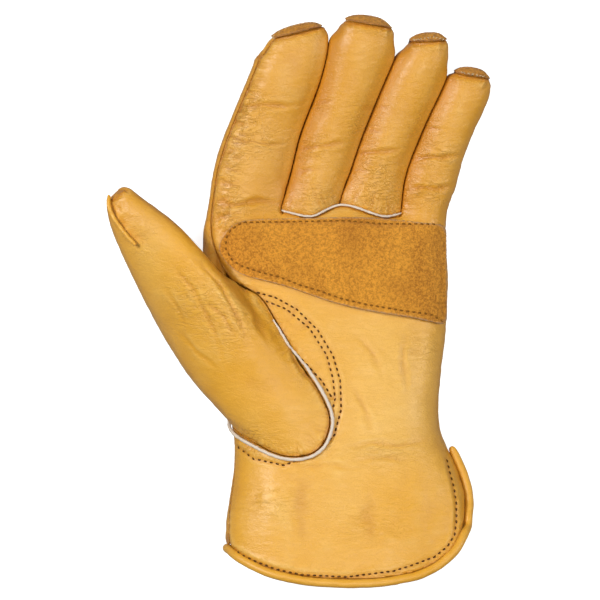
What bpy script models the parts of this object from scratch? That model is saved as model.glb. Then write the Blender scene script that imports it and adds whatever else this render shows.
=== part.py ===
"""Left-hand leather work glove with a one-piece back, two set-in middle fingers and a set-in thumb.

The glove lies on its back, palm up. +X points to the little finger, +Y from the cuff to the fingertips
and +Z out of the palm. The origin is on the flat of the back, under the middle of the bounding box.
Every leather piece is a wall of its own, cut from one skin so that neighbours meet along their seams.
"""

import math

import bmesh
import bpy
import numpy as np
from mathutils import Vector
from mathutils.bvhtree import BVHTree

# Driving sizes, in metres
BODY_LENGTH = 0.164        # from the hem to the knuckle line
PALM_WIDTH = 0.110         # across the knuckles
PALM_DEPTH = 0.040         # of the filled-out palm
LEATHER = 0.0015           # thickness of the grain leather
SUEDE = 0.0013             # thickness of the palm patch and the fingertip pieces
SEAM_GAP = 0.0003          # between pieces that are sewn together
SEAM_DIP = 0.0007          # how far a seam draws the skin in
CROTCH_THIN = 0.6          # share of the leather's thickness left where it is pared at a crotch
KNUCKLE_FADE = 0.014       # stretch over which the palm takes the shape of the finger bases
BASE_FADE = 0.024          # stretch over which a finger evens out the height of its base
SHAPE_FADE = 0.016         # stretch over which it leaves the shape of its base
TIP_DOME = 0.0022          # bulge of a blunt fingertip
FINGER_GAP = 0.0002        # between neighbouring fingers where they lie closest
CROTCH_GAPE = 0.0007       # extra room between them just above their crotch
CROTCH_FADE = 0.011        # stretch over which a finger's side leaves the crotch
BINDING_RADIUS = 0.0022    # rolled edge of the cuff
VENT_GAPE = 0.0060         # half the opening of the cuff's side vent at the hem
MOUTH_EDGE_RADIUS = 0.0009  # cut edge that stands up along the thumb's seam
FINGER_EDGE_RADIUS = 0.0006  # cut edge along the seam of the two middle fingers
TIP_LIP_RADIUS = 0.0011    # raised lip of the seam that closes the thumb
THUMB_LENGTH = 0.1430      # from the thumb's tip to the bottom of its bag
THUMB_WIDTH = 0.045        # across the thumb's bag
THUMB_DEPTH = 0.047        # of the thumb's bag
WORK_STATION = 0.663       # share of the body's length from the hem to where y is 0 while it is shaped
BODY_POWER = 2.5           # squareness of the palm's sections
FINGER_POWER = 2.3         # squareness of the fingers' sections
THUMB_POWER = 2.2

# Grid of the skin
FINGER_FACES = 4           # faces across a finger's front, its back and each of its sides
FRONT = 4 * FINGER_FACES
SIDE = FINGER_FACES
AROUND = 2 * FRONT + 2 * SIDE
RING = 4 * FINGER_FACES
BODY_ROWS = 20
LEFT_SEAM = AROUND - 1     # column of the seam on the forefinger's side
RIGHT_SEAM = FRONT + SIDE // 2
HOLE_FIRST, HOLE_LAST = -5, 7        # columns between which the thumb is let in
HOLE_LOW, HOLE_HIGH = 7, 17          # rows between which the thumb is let in
RELAX_TURNS = 60

# Across the front, the shares of the width at the outer corners and at the crotches
FRONT_SHARES = (0.055, 0.300, 0.540, 0.805, 0.955)

# station: share of BODY_LENGTH. left, right: shares of PALM_WIDTH. middle, half, lean: shares of PALM_DEPTH
BODY_SECTIONS = (
    # station, left, right, middle, half, lean
    (0.00, -0.468, 0.505, 0.655, 0.590, 0.000),
    (0.10, -0.468, 0.508, 0.610, 0.605, 0.010),
    (0.20, -0.455, 0.512, 0.550, 0.605, 0.020),
    (0.28, -0.437, 0.486, 0.510, 0.590, 0.025),
    (0.34, -0.430, 0.446, 0.485, 0.585, 0.030),
    (0.39, -0.440, 0.416, 0.470, 0.583, 0.035),
    (0.45, -0.455, 0.410, 0.457, 0.577, 0.040),
    (0.55, -0.478, 0.423, 0.444, 0.567, 0.050),
    (0.66, -0.510, 0.440, 0.432, 0.550, 0.070),
    (0.78, -0.545, 0.452, 0.417, 0.513, 0.100),
    (0.88, -0.566, 0.446, 0.412, 0.452, 0.125),
    (0.92, -0.569, 0.438, 0.415, 0.420, 0.140),
    (0.96, -0.562, 0.444, 0.415, 0.383, 0.145),
    (1.00, -0.550, 0.445, 0.415, 0.345, 0.150),
)

# across: share of the width. lift: how far the hem rises, as a share of BODY_LENGTH
HEM_LIFT = (
    # across, lift
    (0.00, 0.089),
    (0.06, 0.063),
    (0.20, 0.022),
    (0.35, 0.005),
    (0.50, 0.000),
    (0.65, 0.002),
    (0.80, 0.019),
    (0.88, 0.044),
    (0.955, 0.083),
    (1.00, 0.146),
)
HEM_REACH = 0.34           # share of the body's length over which the hem's curve dies out
VENT_TOP = 0.385           # share of the body's length at the top of the vent
VENT_POWER = 0.8           # how soon the vent gapes below its top
BINDING_TURN = 3           # columns over which the rolled edge turns from the vent to the hem

# column of the front, and the knuckle line's height there as a share of BODY_LENGTH
KNUCKLE_LINE = (
    # column, height
    (0, 0.000),
    (4, 0.000),
    (5, -0.016),
    (6, -0.022),
    (7, -0.008),
    (8, 0.022),
    (9, 0.002),
    (10, -0.013),
    (11, -0.022),
    (12, -0.008),
    (13, -0.018),
    (14, -0.028),
    (15, -0.018),
    (16, 0.000),
)

# Soft pads and hollows of the palm. x: share of PALM_WIDTH. y, reach: shares of BODY_LENGTH. height: of PALM_DEPTH
PADS = (
    # x, y, reach, height
    (0.05, 0.02, 0.16, -0.040),
    (0.32, -0.26, 0.14, 0.050),
    (-0.27, -0.50, 0.10, 0.040),
    (-0.14, -0.52, 0.07, -0.050),
    (0.30, -0.55, 0.12, 0.030),
    (0.05, 0.21, 0.12, 0.035),
)

# start: the base's middle, as shares of PALM_WIDTH, BODY_LENGTH and PALM_DEPTH. rise: lift of the tip.
# lean, roll in degrees. Sections: station as a share of the length, left and right of the width, and depth.
FINGERS = {
    "index": {
        "length": 0.0895, "width": 0.0320, "depth": 0.0235, "rise": 0.013, "roll": 9.0, "skew": 0.55,
        "start": (-0.397, 0.343, 0.540), "lean": 16.9,
        "sections": (
            (0.0, -0.520, 0.478, 0.95), (0.1, -0.547, 0.475, 1.00), (0.2, -0.569, 0.490, 1.00),
            (0.3, -0.559, 0.478, 1.00), (0.4, -0.537, 0.456, 0.99), (0.5, -0.510, 0.462, 0.98),
            (0.6, -0.475, 0.487, 0.98), (0.7, -0.450, 0.508, 0.97), (0.8, -0.434, 0.508, 0.94),
            (0.9, -0.405, 0.480, 0.86), (1.0, -0.320, 0.380, 0.66),
        ),
    },
    "middle": {
        "length": 0.0890, "width": 0.0260, "depth": 0.0245, "rise": 0.015, "roll": 11.0, "skew": 0.10,
        "start": (-0.131, 0.343, 0.465), "lean": 16.65,
        "sections": (
            (0.0, -0.458, 0.423, 0.95), (0.1, -0.427, 0.430, 1.00), (0.2, -0.458, 0.480, 1.00),
            (0.3, -0.490, 0.488, 1.00), (0.4, -0.475, 0.495, 1.00), (0.5, -0.435, 0.528, 1.00),
            (0.6, -0.415, 0.558, 0.99), (0.7, -0.415, 0.598, 0.97), (0.8, -0.432, 0.640, 0.93),
            (0.9, -0.440, 0.655, 0.86), (1.0, -0.350, 0.540, 0.68),
        ),
    },
    "ring": {
        "length": 0.0835, "width": 0.0245, "depth": 0.0235, "rise": 0.014, "roll": 12.0, "skew": 0.34,
        "start": (0.123, 0.343, 0.385), "lean": 18.24,
        "sections": (
            (0.0, -0.550, 0.520, 0.95), (0.1, -0.550, 0.455, 1.00), (0.2, -0.555, 0.404, 1.00),
            (0.3, -0.570, 0.385, 1.00), (0.4, -0.550, 0.410, 1.00), (0.5, -0.520, 0.437, 1.00),
            (0.6, -0.503, 0.470, 0.99), (0.7, -0.465, 0.518, 0.97), (0.8, -0.424, 0.545, 0.93),
            (0.9, -0.384, 0.530, 0.86), (1.0, -0.290, 0.400, 0.66),
        ),
    },
    "little": {
        "length": 0.0655, "width": 0.0220, "depth": 0.0215, "rise": 0.011, "roll": 12.0, "skew": 0.12,
        "start": (0.348, 0.343, 0.305), "lean": 18.43,
        "sections": (
            (0.0, -0.500, 0.490, 0.95), (0.1, -0.560, 0.490, 1.02), (0.2, -0.595, 0.490, 1.03),
            (0.3, -0.610, 0.460, 1.00), (0.4, -0.573, 0.435, 1.00), (0.5, -0.558, 0.445, 1.00),
            (0.6, -0.538, 0.475, 0.99), (0.7, -0.495, 0.505, 0.96), (0.8, -0.450, 0.532, 0.92),
            (0.9, -0.425, 0.540, 0.84), (1.0, -0.340, 0.450, 0.66),
        ),
    },
}
FINGER_STATIONS = (0.0, 0.07, 0.15, 0.24, 0.33, 0.43, 0.53, 0.63, 0.72, 0.80, 0.88, 0.95, 1.0)
NEAR_END = 0.99            # share of a finger's length that gives the direction of its end
TIP_SKEW_FROM = 0.70       # share of a finger's length where its end starts to slant
TIP_PITCH = 0.20           # lean of the blunt end, which keeps it out of sight from the palm's side
FRONT_CORNER = math.radians(38.0)
CURL_POWER = 1.7
CROTCH_REACH = 0.15        # share of a finger's length that has the extra room

# The mouth of the thumb on the body: column round the body and station along it
THUMB_MOUTH = (
    # column, station
    (2.7, 0.765),
    (3.5, 0.700),
    (4.2, 0.640),
    (4.9, 0.585),
    (6.0, 0.520),
    (6.9, 0.455),
    (6.9, 0.410),
    (6.1, 0.362),
    (5.0, 0.335),
    (3.6, 0.326),
    (2.2, 0.336),
    (0.9, 0.362),
    (-0.5, 0.390),
    (-2.0, 0.425),
    (-3.6, 0.480),
    (-4.7, 0.570),
    (-4.9, 0.660),
    (-4.4, 0.745),
    (-3.4, 0.800),
    (-2.0, 0.828),
    (-0.6, 0.830),
    (0.6, 0.812),
    (1.7, 0.790),
)

# Thumb: its tip as shares of PALM_WIDTH and BODY_LENGTH, its direction, and its sections
THUMB_TIP = (-0.900, 0.3977)
THUMB_LEAN = math.radians(35.06)     # between the thumb and the cuff's direction
THUMB_SECTIONS = (
    # station: share of THUMB_LENGTH. left, right: of THUMB_WIDTH. low, high, roll: of THUMB_DEPTH
    (0.000, -0.120, 0.050, 0.840, 1.000, 0.00),
    (0.026, -0.195, 0.090, 0.780, 1.045, 0.02),
    (0.080, -0.278, 0.145, 0.720, 1.080, 0.05),
    (0.187, -0.360, 0.260, 0.610, 1.110, 0.11),
    (0.323, -0.443, 0.328, 0.490, 1.090, 0.18),
    (0.465, -0.500, 0.355, 0.350, 1.060, 0.22),
    (0.607, -0.550, 0.410, 0.220, 1.050, 0.18),
    (0.689, -0.540, 0.450, 0.170, 1.050, 0.10),
    (0.800, -0.500, 0.455, 0.150, 1.040, 0.04),
    (0.920, -0.370, 0.470, 0.200, 1.000, 0.00),
    (0.975, -0.150, 0.370, 0.200, 0.960, 0.00),
    (1.000, 0.050, 0.200, 0.300, 0.900, 0.00),
)
TIP_LIP = (
    # station along the thumb, angle round its section in degrees
    (0.012, 124.0),
    (0.040, 122.0),
    (0.080, 120.0),
    (0.130, 115.0),
    (0.185, 108.0),
)
TIP_LIP_POINTS = 9
THUMB_STATIONS = (0.0, 0.03, 0.09, 0.18, 0.29, 0.41, 0.53, 0.65, 0.76, 0.86, 0.93, 0.975)
THUMB_REACH = 0.985        # share of the thumb's length that its mouth may reach
THUMB_FADE = 0.20          # share of its length over which the thumb leaves its mouth's shape
THUMB_DOME = 0.0011        # bulge of its very tip
TIP_THIN = 0.6             # share of the leather's thickness left round its very tip
TIP_THICK = 2.2            # the same where its seams meet at the tip
SOFT_REACH = 0.45          # share of its length over which the thumb's folds are eased
SOFT_TURNS = 12
MOUTH_TURNS = 6            # rounds that even out how the thumb's mouth is shared among its columns
THUMB_CLEAR = 0.0012       # between the palm and the part of the thumb that lies over it
THUMB_NEAR = 0.010         # how far from the palm the thumb is kept off it

# Palm patch. x: share of PALM_WIDTH from the origin. top, bottom: shares of BODY_LENGTH
PATCH_OUTLINE = (
    # x, top, bottom
    (-0.483, 0.246, 0.222),
    (-0.466, 0.275, 0.197),
    (-0.440, 0.293, 0.177),
    (-0.400, 0.303, 0.160),
    (-0.330, 0.305, 0.146),
    (-0.245, 0.306, 0.132),
    (-0.160, 0.307, 0.113),
    (-0.080, 0.308, 0.094),
    (0.040, 0.310, 0.071),
    (0.160, 0.307, 0.055),
    (0.290, 0.300, 0.041),
    (0.385, 0.297, 0.026),
    (0.424, 0.296, 0.020),
)
PATCH_COLUMNS = 18
PATCH_ROWS = 7
PATCH_CROWD = 1.35         # how much closer the columns stand at the ends of the patch
PATCH_LIFT = 0.0011        # between the palm's corners and the underside of the patch

LEATHER_COLOUR = (0.80, 0.47, 0.10, 1.0)
SUEDE_COLOUR = (0.56, 0.30, 0.08, 1.0)
CUT_EDGE_COLOUR = (0.72, 0.62, 0.50, 1.0)
LEATHER_ROUGHNESS = 0.45
SUEDE_ROUGHNESS = 0.9
CUT_EDGE_ROUGHNESS = 0.8
SHARP_ANGLE = math.radians(50.0)


def table(rows, column, at, smooth=True):
    """A column of a table at the given value of its first column, along a smooth curve through the rows."""
    keys = np.array([row[0] for row in rows], float)
    values = np.array([row[column] for row in rows], float)
    at = np.clip(at, keys[0], keys[-1])
    if not smooth:
        return np.interp(at, keys, values)
    slopes = np.gradient(values, keys)
    index = np.clip(np.searchsorted(keys, at, side="right") - 1, 0, len(keys) - 2)
    step = keys[index + 1] - keys[index]
    s = (at - keys[index]) / step
    return (
        (2 * s**3 - 3 * s**2 + 1) * values[index]
        + (s**3 - 2 * s**2 + s) * step * slopes[index]
        + (-2 * s**3 + 3 * s**2) * values[index + 1]
        + (s**3 - s**2) * step * slopes[index + 1]
    )


def rounded(angle, power):
    """Point of a unit superellipse at an angle."""
    c, s = math.cos(angle), math.sin(angle)
    return (
        math.copysign(abs(c) ** (2 / power), c),
        math.copysign(abs(s) ** (2 / power), s),
    )


def ease(x):
    x = min(max(x, 0.0), 1.0)
    return x * x * (3 - 2 * x)


def column_angles():
    """Angle round the body's section of each column, from the front's left corner round by the right."""
    corners = np.arange(5) * FINGER_FACES
    shares = np.interp(np.arange(FRONT + 1), corners, FRONT_SHARES)
    front = [
        math.acos(math.copysign(abs(c) ** (BODY_POWER / 2), c)) for c in 2 * shares - 1
    ]
    right = np.linspace(front[-1], -front[-1], SIDE + 1)[1:-1]
    back = [-a for a in reversed(front)]
    left = np.linspace(back[-1], front[0] - 2 * math.pi, SIDE + 1)[1:]
    return np.concatenate([front, right, back, left])


ANGLES = column_angles()


def angle_of(column):
    """Angle at a column that may lie between two grid lines, or before the first."""
    turns = math.floor(column / AROUND)
    within = column - turns * AROUND
    return float(np.interp(within, np.arange(AROUND + 1), ANGLES)) - turns * 2 * math.pi


def pads(x, y):
    """Height of the palm's soft pads and hollows at a place."""
    total = 0.0
    for px, py, reach, height in PADS:
        dx, dy = x - px * PALM_WIDTH, y - py * BODY_LENGTH
        total += height * PALM_DEPTH * math.exp(-(dx * dx + dy * dy) / (reach * BODY_LENGTH) ** 2)
    return total


def body_point(column, station, vent=0):
    """Point of the body's outer skin. vent is 1 on the front's edge of the vent and -1 on the back's."""
    angle = angle_of(column)
    across, up = rounded(angle, BODY_POWER)
    left, right = (PALM_WIDTH * table(BODY_SECTIONS, c, station) for c in (1, 2))
    middle, half, lean = (PALM_DEPTH * table(BODY_SECTIONS, c, station) for c in (3, 4, 5))
    x = (left + right) / 2 + (right - left) / 2 * across
    y = (station - WORK_STATION) * BODY_LENGTH
    fade = max(0.0, 1 - station / HEM_REACH) ** 2
    y += BODY_LENGTH * table(HEM_LIFT, 1, (across + 1) / 2, smooth=False) * fade
    z = middle + half * up - lean * across
    if up > 0:
        z += pads(x, y) * up
    opening = VENT_GAPE * max(0.0, 1 - station / VENT_TOP) ** VENT_POWER
    nearness = max(0.0, 1 - abs(column - RIGHT_SEAM) / SIDE)
    side = vent if vent else np.sign(RIGHT_SEAM - column)
    z += side * opening * nearness
    return np.array([x, y, max(z, 0.0)])


class Finger:
    """The tube of one finger along a leaning, curling line."""

    def __init__(self, name):
        spec = FINGERS[name]
        self.spec = spec
        names = list(FINGERS)
        sx, sy, sz = spec["start"]
        self.start = np.array([sx * PALM_WIDTH, sy * BODY_LENGTH, sz * PALM_DEPTH])
        lean = math.radians(spec["lean"])
        self.along = np.array([math.sin(lean), math.cos(lean), 0.0]) * spec["length"]
        self.aside = np.array([math.cos(lean), -math.sin(lean), 0.0])
        self.beside = (name != names[0], name != names[-1])

    def centre(self, share):
        return self.start + self.along * share + np.array([0, 0, self.spec["rise"] * share**CURL_POWER])

    def ring(self, share):
        """The ring of points round the finger, from the front's left corner round by the right."""
        spec = self.spec
        gap = FINGER_GAP / 2 + CROTCH_GAPE / 2 * math.exp(-((share / CROTCH_REACH) ** 2))
        left = spec["width"] * table(spec["sections"], 1, share) + gap * self.beside[0]
        right = spec["width"] * table(spec["sections"], 2, share) - gap * self.beside[1]
        half_width, half_depth = (right - left) / 2, spec["depth"] / 2 * table(spec["sections"], 3, share)
        ahead = self.centre(share + 0.01) - self.centre(share)
        ahead /= np.linalg.norm(ahead)
        roll = math.radians(spec["roll"])
        level = np.cross(self.aside, ahead)
        across = self.aside * math.cos(roll) - level * math.sin(roll)
        out = level * math.cos(roll) + self.aside * math.sin(roll)
        middle = self.centre(share) + self.aside * (left + right) / 2
        end = ease((share - TIP_SKEW_FROM) / (1 - TIP_SKEW_FROM))
        points = []
        for angle in ring_angles():
            u, v = rounded(angle, FINGER_POWER)
            along = end * (spec["skew"] * half_width * (u - 1) + TIP_PITCH * half_depth * (v - 1))
            points.append(middle + across * half_width * u + out * half_depth * v + ahead * along)
        return points


def ring_angles():
    """Angles of a finger's ring: its front from left to right, its right side, its back and its left side."""
    c, n = FRONT_CORNER, FINGER_FACES
    front = np.linspace(math.pi - c, c, n + 1)
    right = np.linspace(c, -c, n + 1)[1:]
    back = np.linspace(-c, c - math.pi, n + 1)[1:]
    left = np.linspace(c - math.pi, -c - math.pi, n + 1)[1:-1]
    return np.concatenate([front, right, back, left])


class Skin:
    """One sheet of quads with shared corners, each face marked with its piece."""

    def __init__(self):
        self.points, self.index, self.faces, self.pieces = [], {}, [], []
        self.facing, self.thin = {}, {}

    def add(self, key, point):
        self.index[key] = len(self.points)
        self.points.append(np.array(point, float))

    def same(self, key, other):
        self.index[key] = self.index[other]

    def face(self, keys, piece, group=""):
        self.faces.append([self.index[k] for k in keys])
        self.pieces.append((piece, group))

    def normals(self):
        """Outward directions at the corners. At a crotch they point out between the fingers."""
        points = np.array(self.points)
        total = np.zeros_like(points)
        for face in self.faces:
            p = points[face]
            normal = np.cross(p[2] - p[0], p[-1] - p[1])
            for corner in face:
                total[corner] += normal
        total /= np.linalg.norm(total, axis=1)[:, None]
        for corner, direction in self.facing.items():
            total[corner] = direction
        smoothed = total.copy()
        for face in self.faces:
            for a, b in zip(face, face[1:] + face[:1]):
                smoothed[a] += total[b] / 4
                smoothed[b] += total[a] / 4
        for corner, direction in self.facing.items():
            smoothed[corner] = direction
        return smoothed / np.linalg.norm(smoothed, axis=1)[:, None]


def knuckle_height(column):
    """Height of the knuckle line at a column of the front."""
    return BODY_LENGTH * (1 - WORK_STATION + table(KNUCKLE_LINE, 1, column, smooth=False))


def base_rings(fingers):
    """Where the fingers meet the body: its top points by column, and the crotches between fingers."""
    n = FINGER_FACES
    rings = [finger.ring(0.0) for finger in fingers]
    top, crotch = {}, {}
    for k, ring in enumerate(rings):
        for m in range(n + 1):
            for column, local in ((k * n + m, m), (AROUND - SIDE - k * n - m, 3 * n - m)):
                top.setdefault(column, []).append(ring[local])
        for m in range(1, n):
            crotch.setdefault((k, m), []).append(ring[n + m])
            crotch.setdefault((k - 1, m), []).append(ring[(RING - m) % RING])
    for m in range(1, n):
        top[FRONT + m] = [rings[-1][n + m]]
        top[AROUND - SIDE + m] = [rings[0][3 * n + m]]
    for column, found in top.items():
        point = np.mean(found, axis=0)
        point[1] = knuckle_height(column if column <= FRONT else 0)
        top[column] = point
    for (k, m), found in crotch.items():
        point = np.mean(found, axis=0)
        if 0 <= k < len(rings) - 1:
            ends = [top[(k + 1) * n], top[AROUND - SIDE - (k + 1) * n]]
            point[1] = ends[0][1] + (ends[1][1] - ends[0][1]) * m / n - BODY_LENGTH * 0.004
        crotch[(k, m)] = point
    return top, crotch


def hole_ring():
    """Grid corners round the thumb's mouth, once round."""
    ring = [(c, HOLE_HIGH) for c in range(HOLE_FIRST, HOLE_LAST)]
    ring += [(HOLE_LAST, r) for r in range(HOLE_HIGH, HOLE_LOW, -1)]
    ring += [(c, HOLE_LOW) for c in range(HOLE_LAST, HOLE_FIRST, -1)]
    ring += [(HOLE_FIRST, r) for r in range(HOLE_LOW, HOLE_HIGH)]
    return ring


def mouth_curve(count, start):
    """Evenly spaced (column, station) places round the thumb's mouth, on a smooth closed curve through its table."""
    knots = np.array(THUMB_MOUTH, float)
    fine = []
    for k in range(len(knots)):
        p0, p1, p2, p3 = (knots[(k + d) % len(knots)] for d in (-1, 0, 1, 2))
        for s in np.arange(12) / 12:
            fine.append(
                0.5 * (2 * p1 + (p2 - p0) * s + (2 * p0 - 5 * p1 + 4 * p2 - p3) * s**2
                       + (3 * p1 - p0 - 3 * p2 + p3) * s**3)
            )
    fine = np.array(fine + [fine[0]])
    real = np.array([body_point(c, s) for c, s in fine])
    lengths = np.concatenate([[0], np.cumsum(np.linalg.norm(np.diff(real, axis=0), axis=1))])
    wanted = (start + np.arange(count) / count) % 1.0 * lengths[-1]
    return [tuple(np.interp(w, lengths, fine[:, k]) for k in (0, 1)) for w in wanted]


def body_places():
    """(column, station) of each corner of the body's grid, eased so that the grid frames the thumb's mouth."""
    rows = BODY_ROWS + 1
    column = np.tile(np.arange(AROUND, dtype=float), (rows, 1))
    station = np.tile(np.linspace(0, 1, rows)[:, None], (1, AROUND))
    fixed = np.zeros((rows, AROUND), bool)
    fixed[[0, -1]] = True
    ring = hole_ring()
    start = ((HOLE_LAST + HOLE_FIRST) / 2 - HOLE_FIRST) / len(ring)
    placed = mouth_curve(len(ring), 1 - start - 0.02)
    for (c, r), (u, t) in zip(ring, placed):
        column[r, c % AROUND] = u if c >= 0 else u + AROUND
        station[r, c % AROUND] = t
        fixed[r, c % AROUND] = True
    hole = np.zeros((rows, AROUND), bool)
    for c in range(HOLE_FIRST + 1, HOLE_LAST):
        hole[HOLE_LOW + 1 : HOLE_HIGH, c % AROUND] = True
    offset = column - np.arange(AROUND)
    offset -= AROUND * np.round(offset / AROUND)
    drift = station - np.linspace(0, 1, rows)[:, None]
    free = ~fixed & ~hole
    for _ in range(RELAX_TURNS):
        for field in (offset, drift):
            near = np.roll(field, 1, 1) + np.roll(field, -1, 1)
            near[1:-1] += field[2:] + field[:-2]
            near[1:-1] /= 4
            field[free] = near[free]
    return offset + np.arange(AROUND), drift + np.linspace(0, 1, rows)[:, None], hole


def build_skin():
    """The whole outer skin apart from the thumb."""
    skin = Skin()
    names = list(FINGERS)
    fingers = [Finger(name) for name in names]
    top, crotch = base_rings(fingers)
    columns, stations, hole = body_places()
    vent_rows = [r for r in range(BODY_ROWS + 1) if stations[r, RIGHT_SEAM] < VENT_TOP]
    for r in range(BODY_ROWS + 1):
        for c in range(AROUND):
            if hole[r, c]:
                continue
            u, t = columns[r, c], stations[r, c]
            point = body_point(u, t, vent=1 if c == RIGHT_SEAM and r in vent_rows else 0)
            pull = ease(1 - (1 - t) * BODY_LENGTH / KNUCKLE_FADE)
            point = point + (top[c] - body_point(c, 1.0)) * pull
            skin.add(("body", c, r), point)
            if c == RIGHT_SEAM and r in vent_rows:
                skin.add(("vent", r), body_point(u, t, vent=-1))
    body_faces(skin, hole, vent_rows)
    for k, name in enumerate(names):
        finger_faces(skin, fingers[k], name, k, crotch)
    for k in range(len(names) - 1):
        face_crotch(skin, k, names[k], names[k + 1])
    return skin


def face_crotch(skin, k, left, right):
    """Marks the outward directions along the crotch after finger k, midway between the fingers' sides."""
    n = FINGER_FACES
    corner = (k + 1) * n
    keys = [("body", corner, BODY_ROWS)] + [("crotch", k, m) for m in range(1, n)]
    keys.append(("body", AROUND - SIDE - corner, BODY_ROWS))
    for m, key in enumerate(keys):
        point = skin.points[skin.index[key]]
        sides = (skin.index[(left, n + m, 1)], skin.index[(right, (RING - m) % RING, 1)])
        slopes = [skin.points[side] - point for side in sides]
        facing = sum(slope / np.linalg.norm(slope) for slope in slopes)
        facing /= np.linalg.norm(facing)
        if m in (0, n):
            beside = skin.points[skin.index[keys[1 if m == 0 else n - 1]]]
            facing = facing + (point - beside) / np.linalg.norm(point - beside)
            facing /= np.linalg.norm(facing)
        skin.facing[skin.index[key]] = facing
        skin.thin[skin.index[key]] = CROTCH_THIN


def in_hole(column, row):
    """Whether a face of the body's grid lies in the thumb's mouth."""
    signed = column if column < AROUND // 2 else column - AROUND
    return HOLE_FIRST <= signed < HOLE_LAST and HOLE_LOW <= row < HOLE_HIGH


def body_faces(skin, hole, vent_rows):
    """Faces of the body: the palm from the left seam over the front to the right seam, and the back."""
    for r in range(BODY_ROWS):
        for c in range(AROUND):
            if in_hole(c, r):
                continue
            following = (c + 1) % AROUND
            keys = [("body", c, r), ("body", following, r), ("body", following, r + 1), ("body", c, r + 1)]
            palm = c < RIGHT_SEAM or c >= LEFT_SEAM
            if c == RIGHT_SEAM:
                keys[0] = ("vent", r) if r in vent_rows else keys[0]
                keys[3] = ("vent", r + 1) if r + 1 in vent_rows else keys[3]
            skin.face(keys, "palm" if palm else "back")


def finger_faces(skin, finger, name, k, crotch):
    """Corners and faces of one finger, from its base to its blunt tip."""
    n = FINGER_FACES
    base = base_keys(skin, k, crotch)
    start = finger.ring(0.0)
    moved = [skin.points[skin.index[key]] - start[m] for m, key in enumerate(base)]
    last = len(FINGER_STATIONS) - 1
    ahead = finger.along / np.linalg.norm(finger.along)
    for j, share in enumerate(FINGER_STATIONS):
        if j == 0:
            for m, key in enumerate(base):
                skin.same((name, m, 0), key)
            continue
        away = share * finger.spec["length"]
        for m, point in enumerate(finger.ring(share)):
            fade = CROTCH_FADE if base[m][0] == "crotch" else SHAPE_FADE
            height = ahead * (moved[m] @ ahead)
            shape = (moved[m] - height) * ease(1 - away / fade)
            skin.add((name, m, j), point + height * ease(1 - away / BASE_FADE) + shape)
    piece = {"index": "palm", "little": "palm"}.get(name, name)
    for j in range(last):
        for m in range(RING):
            following = (m + 1) % RING
            front = m < 2 * n or m >= 3 * n
            if name == "index":
                front = m < 2 * n or m >= RING - 1
            if name == "little":
                front = m < n + n // 2 or m >= 3 * n
            keys = [(name, m, j), (name, following, j), (name, following, j + 1), (name, m, j + 1)]
            tip = name + "_tip" if not front and 2 * n <= m < 3 * n and j >= last - 2 else ""
            skin.face(keys, piece if front else "back", tip)
    tip_faces(skin, finger, name, last)


def base_keys(skin, k, crotch):
    """Keys of the points where a finger starts: the body's top row, and the crotches beside it."""
    n = FINGER_FACES
    keys = [("body", k * n + m, BODY_ROWS) for m in range(n + 1)]
    if k == 3:
        keys += [("body", FRONT + m, BODY_ROWS) for m in range(1, n)]
    else:
        for m in range(1, n):
            skin.add(("crotch", k, m), crotch[(k, m)])
            keys.append(("crotch", k, m))
    keys += [("body", AROUND - SIDE - (k + 1) * n + m, BODY_ROWS) for m in range(n + 1)]
    if k == 0:
        keys += [("body", AROUND - SIDE + m, BODY_ROWS) for m in range(1, n)]
    else:
        keys += [("crotch", k - 1, n - m) for m in range(1, n)]
    return keys


def tip_rim(row, col):
    """Place on a finger's ring of a point on the rim of its tip's grid."""
    if row == 0:
        return col
    if row == FINGER_FACES:
        return 3 * FINGER_FACES - col
    return FINGER_FACES + row if col == FINGER_FACES else (RING - row) % RING


def tip_faces(skin, finger, name, last):
    """The fingertip: a domed grid that closes the last ring. It belongs to the back, under the suede tip."""
    n = FINGER_FACES
    ring = [skin.points[skin.index[(name, m, last)]] for m in range(RING)]
    ahead = finger.centre(1.0) - finger.centre(NEAR_END)
    ahead /= np.linalg.norm(ahead)
    for row in range(n + 1):
        for col in range(n + 1):
            if row in (0, n) or col in (0, n):
                skin.same((name, "tip", row, col), (name, tip_rim(row, col), last))
                continue
            a, b = row / n, col / n
            across = ring[tip_rim(row, 0)] * (1 - b) + ring[tip_rim(row, n)] * b
            down = ring[tip_rim(0, col)] * (1 - a) + ring[tip_rim(n, col)] * a
            dome = TIP_DOME * (1 - (2 * a - 1) ** 2) ** 0.5 * (1 - (2 * b - 1) ** 2) ** 0.5
            skin.add((name, "tip", row, col), (across + down) / 2 + ahead * dome)
    for row in range(n):
        for col in range(n):
            keys = [(name, "tip", row, col), (name, "tip", row, col + 1),
                    (name, "tip", row + 1, col + 1), (name, "tip", row + 1, col)]
            skin.face(keys, "back", name + "_tip")


def thumb_frame():
    tip = np.array([THUMB_TIP[0] * PALM_WIDTH, THUMB_TIP[1] * BODY_LENGTH, 0.0])
    ahead = np.array([math.sin(THUMB_LEAN), -math.cos(THUMB_LEAN), 0.0])
    aside = np.array([math.cos(THUMB_LEAN), math.sin(THUMB_LEAN), 0.0])
    return tip, ahead, aside


def thumb_section(station):
    """Middle, half width, height, half depth and roll of the thumb's section, in metres."""
    left, right = (THUMB_WIDTH * table(THUMB_SECTIONS, c, station) for c in (1, 2))
    low, high, roll = (THUMB_DEPTH * table(THUMB_SECTIONS, c, station) for c in (3, 4, 5))
    return (left + right) / 2, (right - left) / 2, (low + high) / 2, (high - low) / 2, roll


def thumb_point(station, angle):
    """Point of the thumb's bag at a share of its length from the tip."""
    tip, ahead, aside = thumb_frame()
    middle, half_width, height, half_depth, roll = thumb_section(station)
    u, v = rounded(angle, THUMB_POWER)
    up = np.array([0, 0, height + half_depth * v + roll * u])
    return tip + ahead * station * THUMB_LENGTH + aside * (middle + half_width * u) + up


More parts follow.
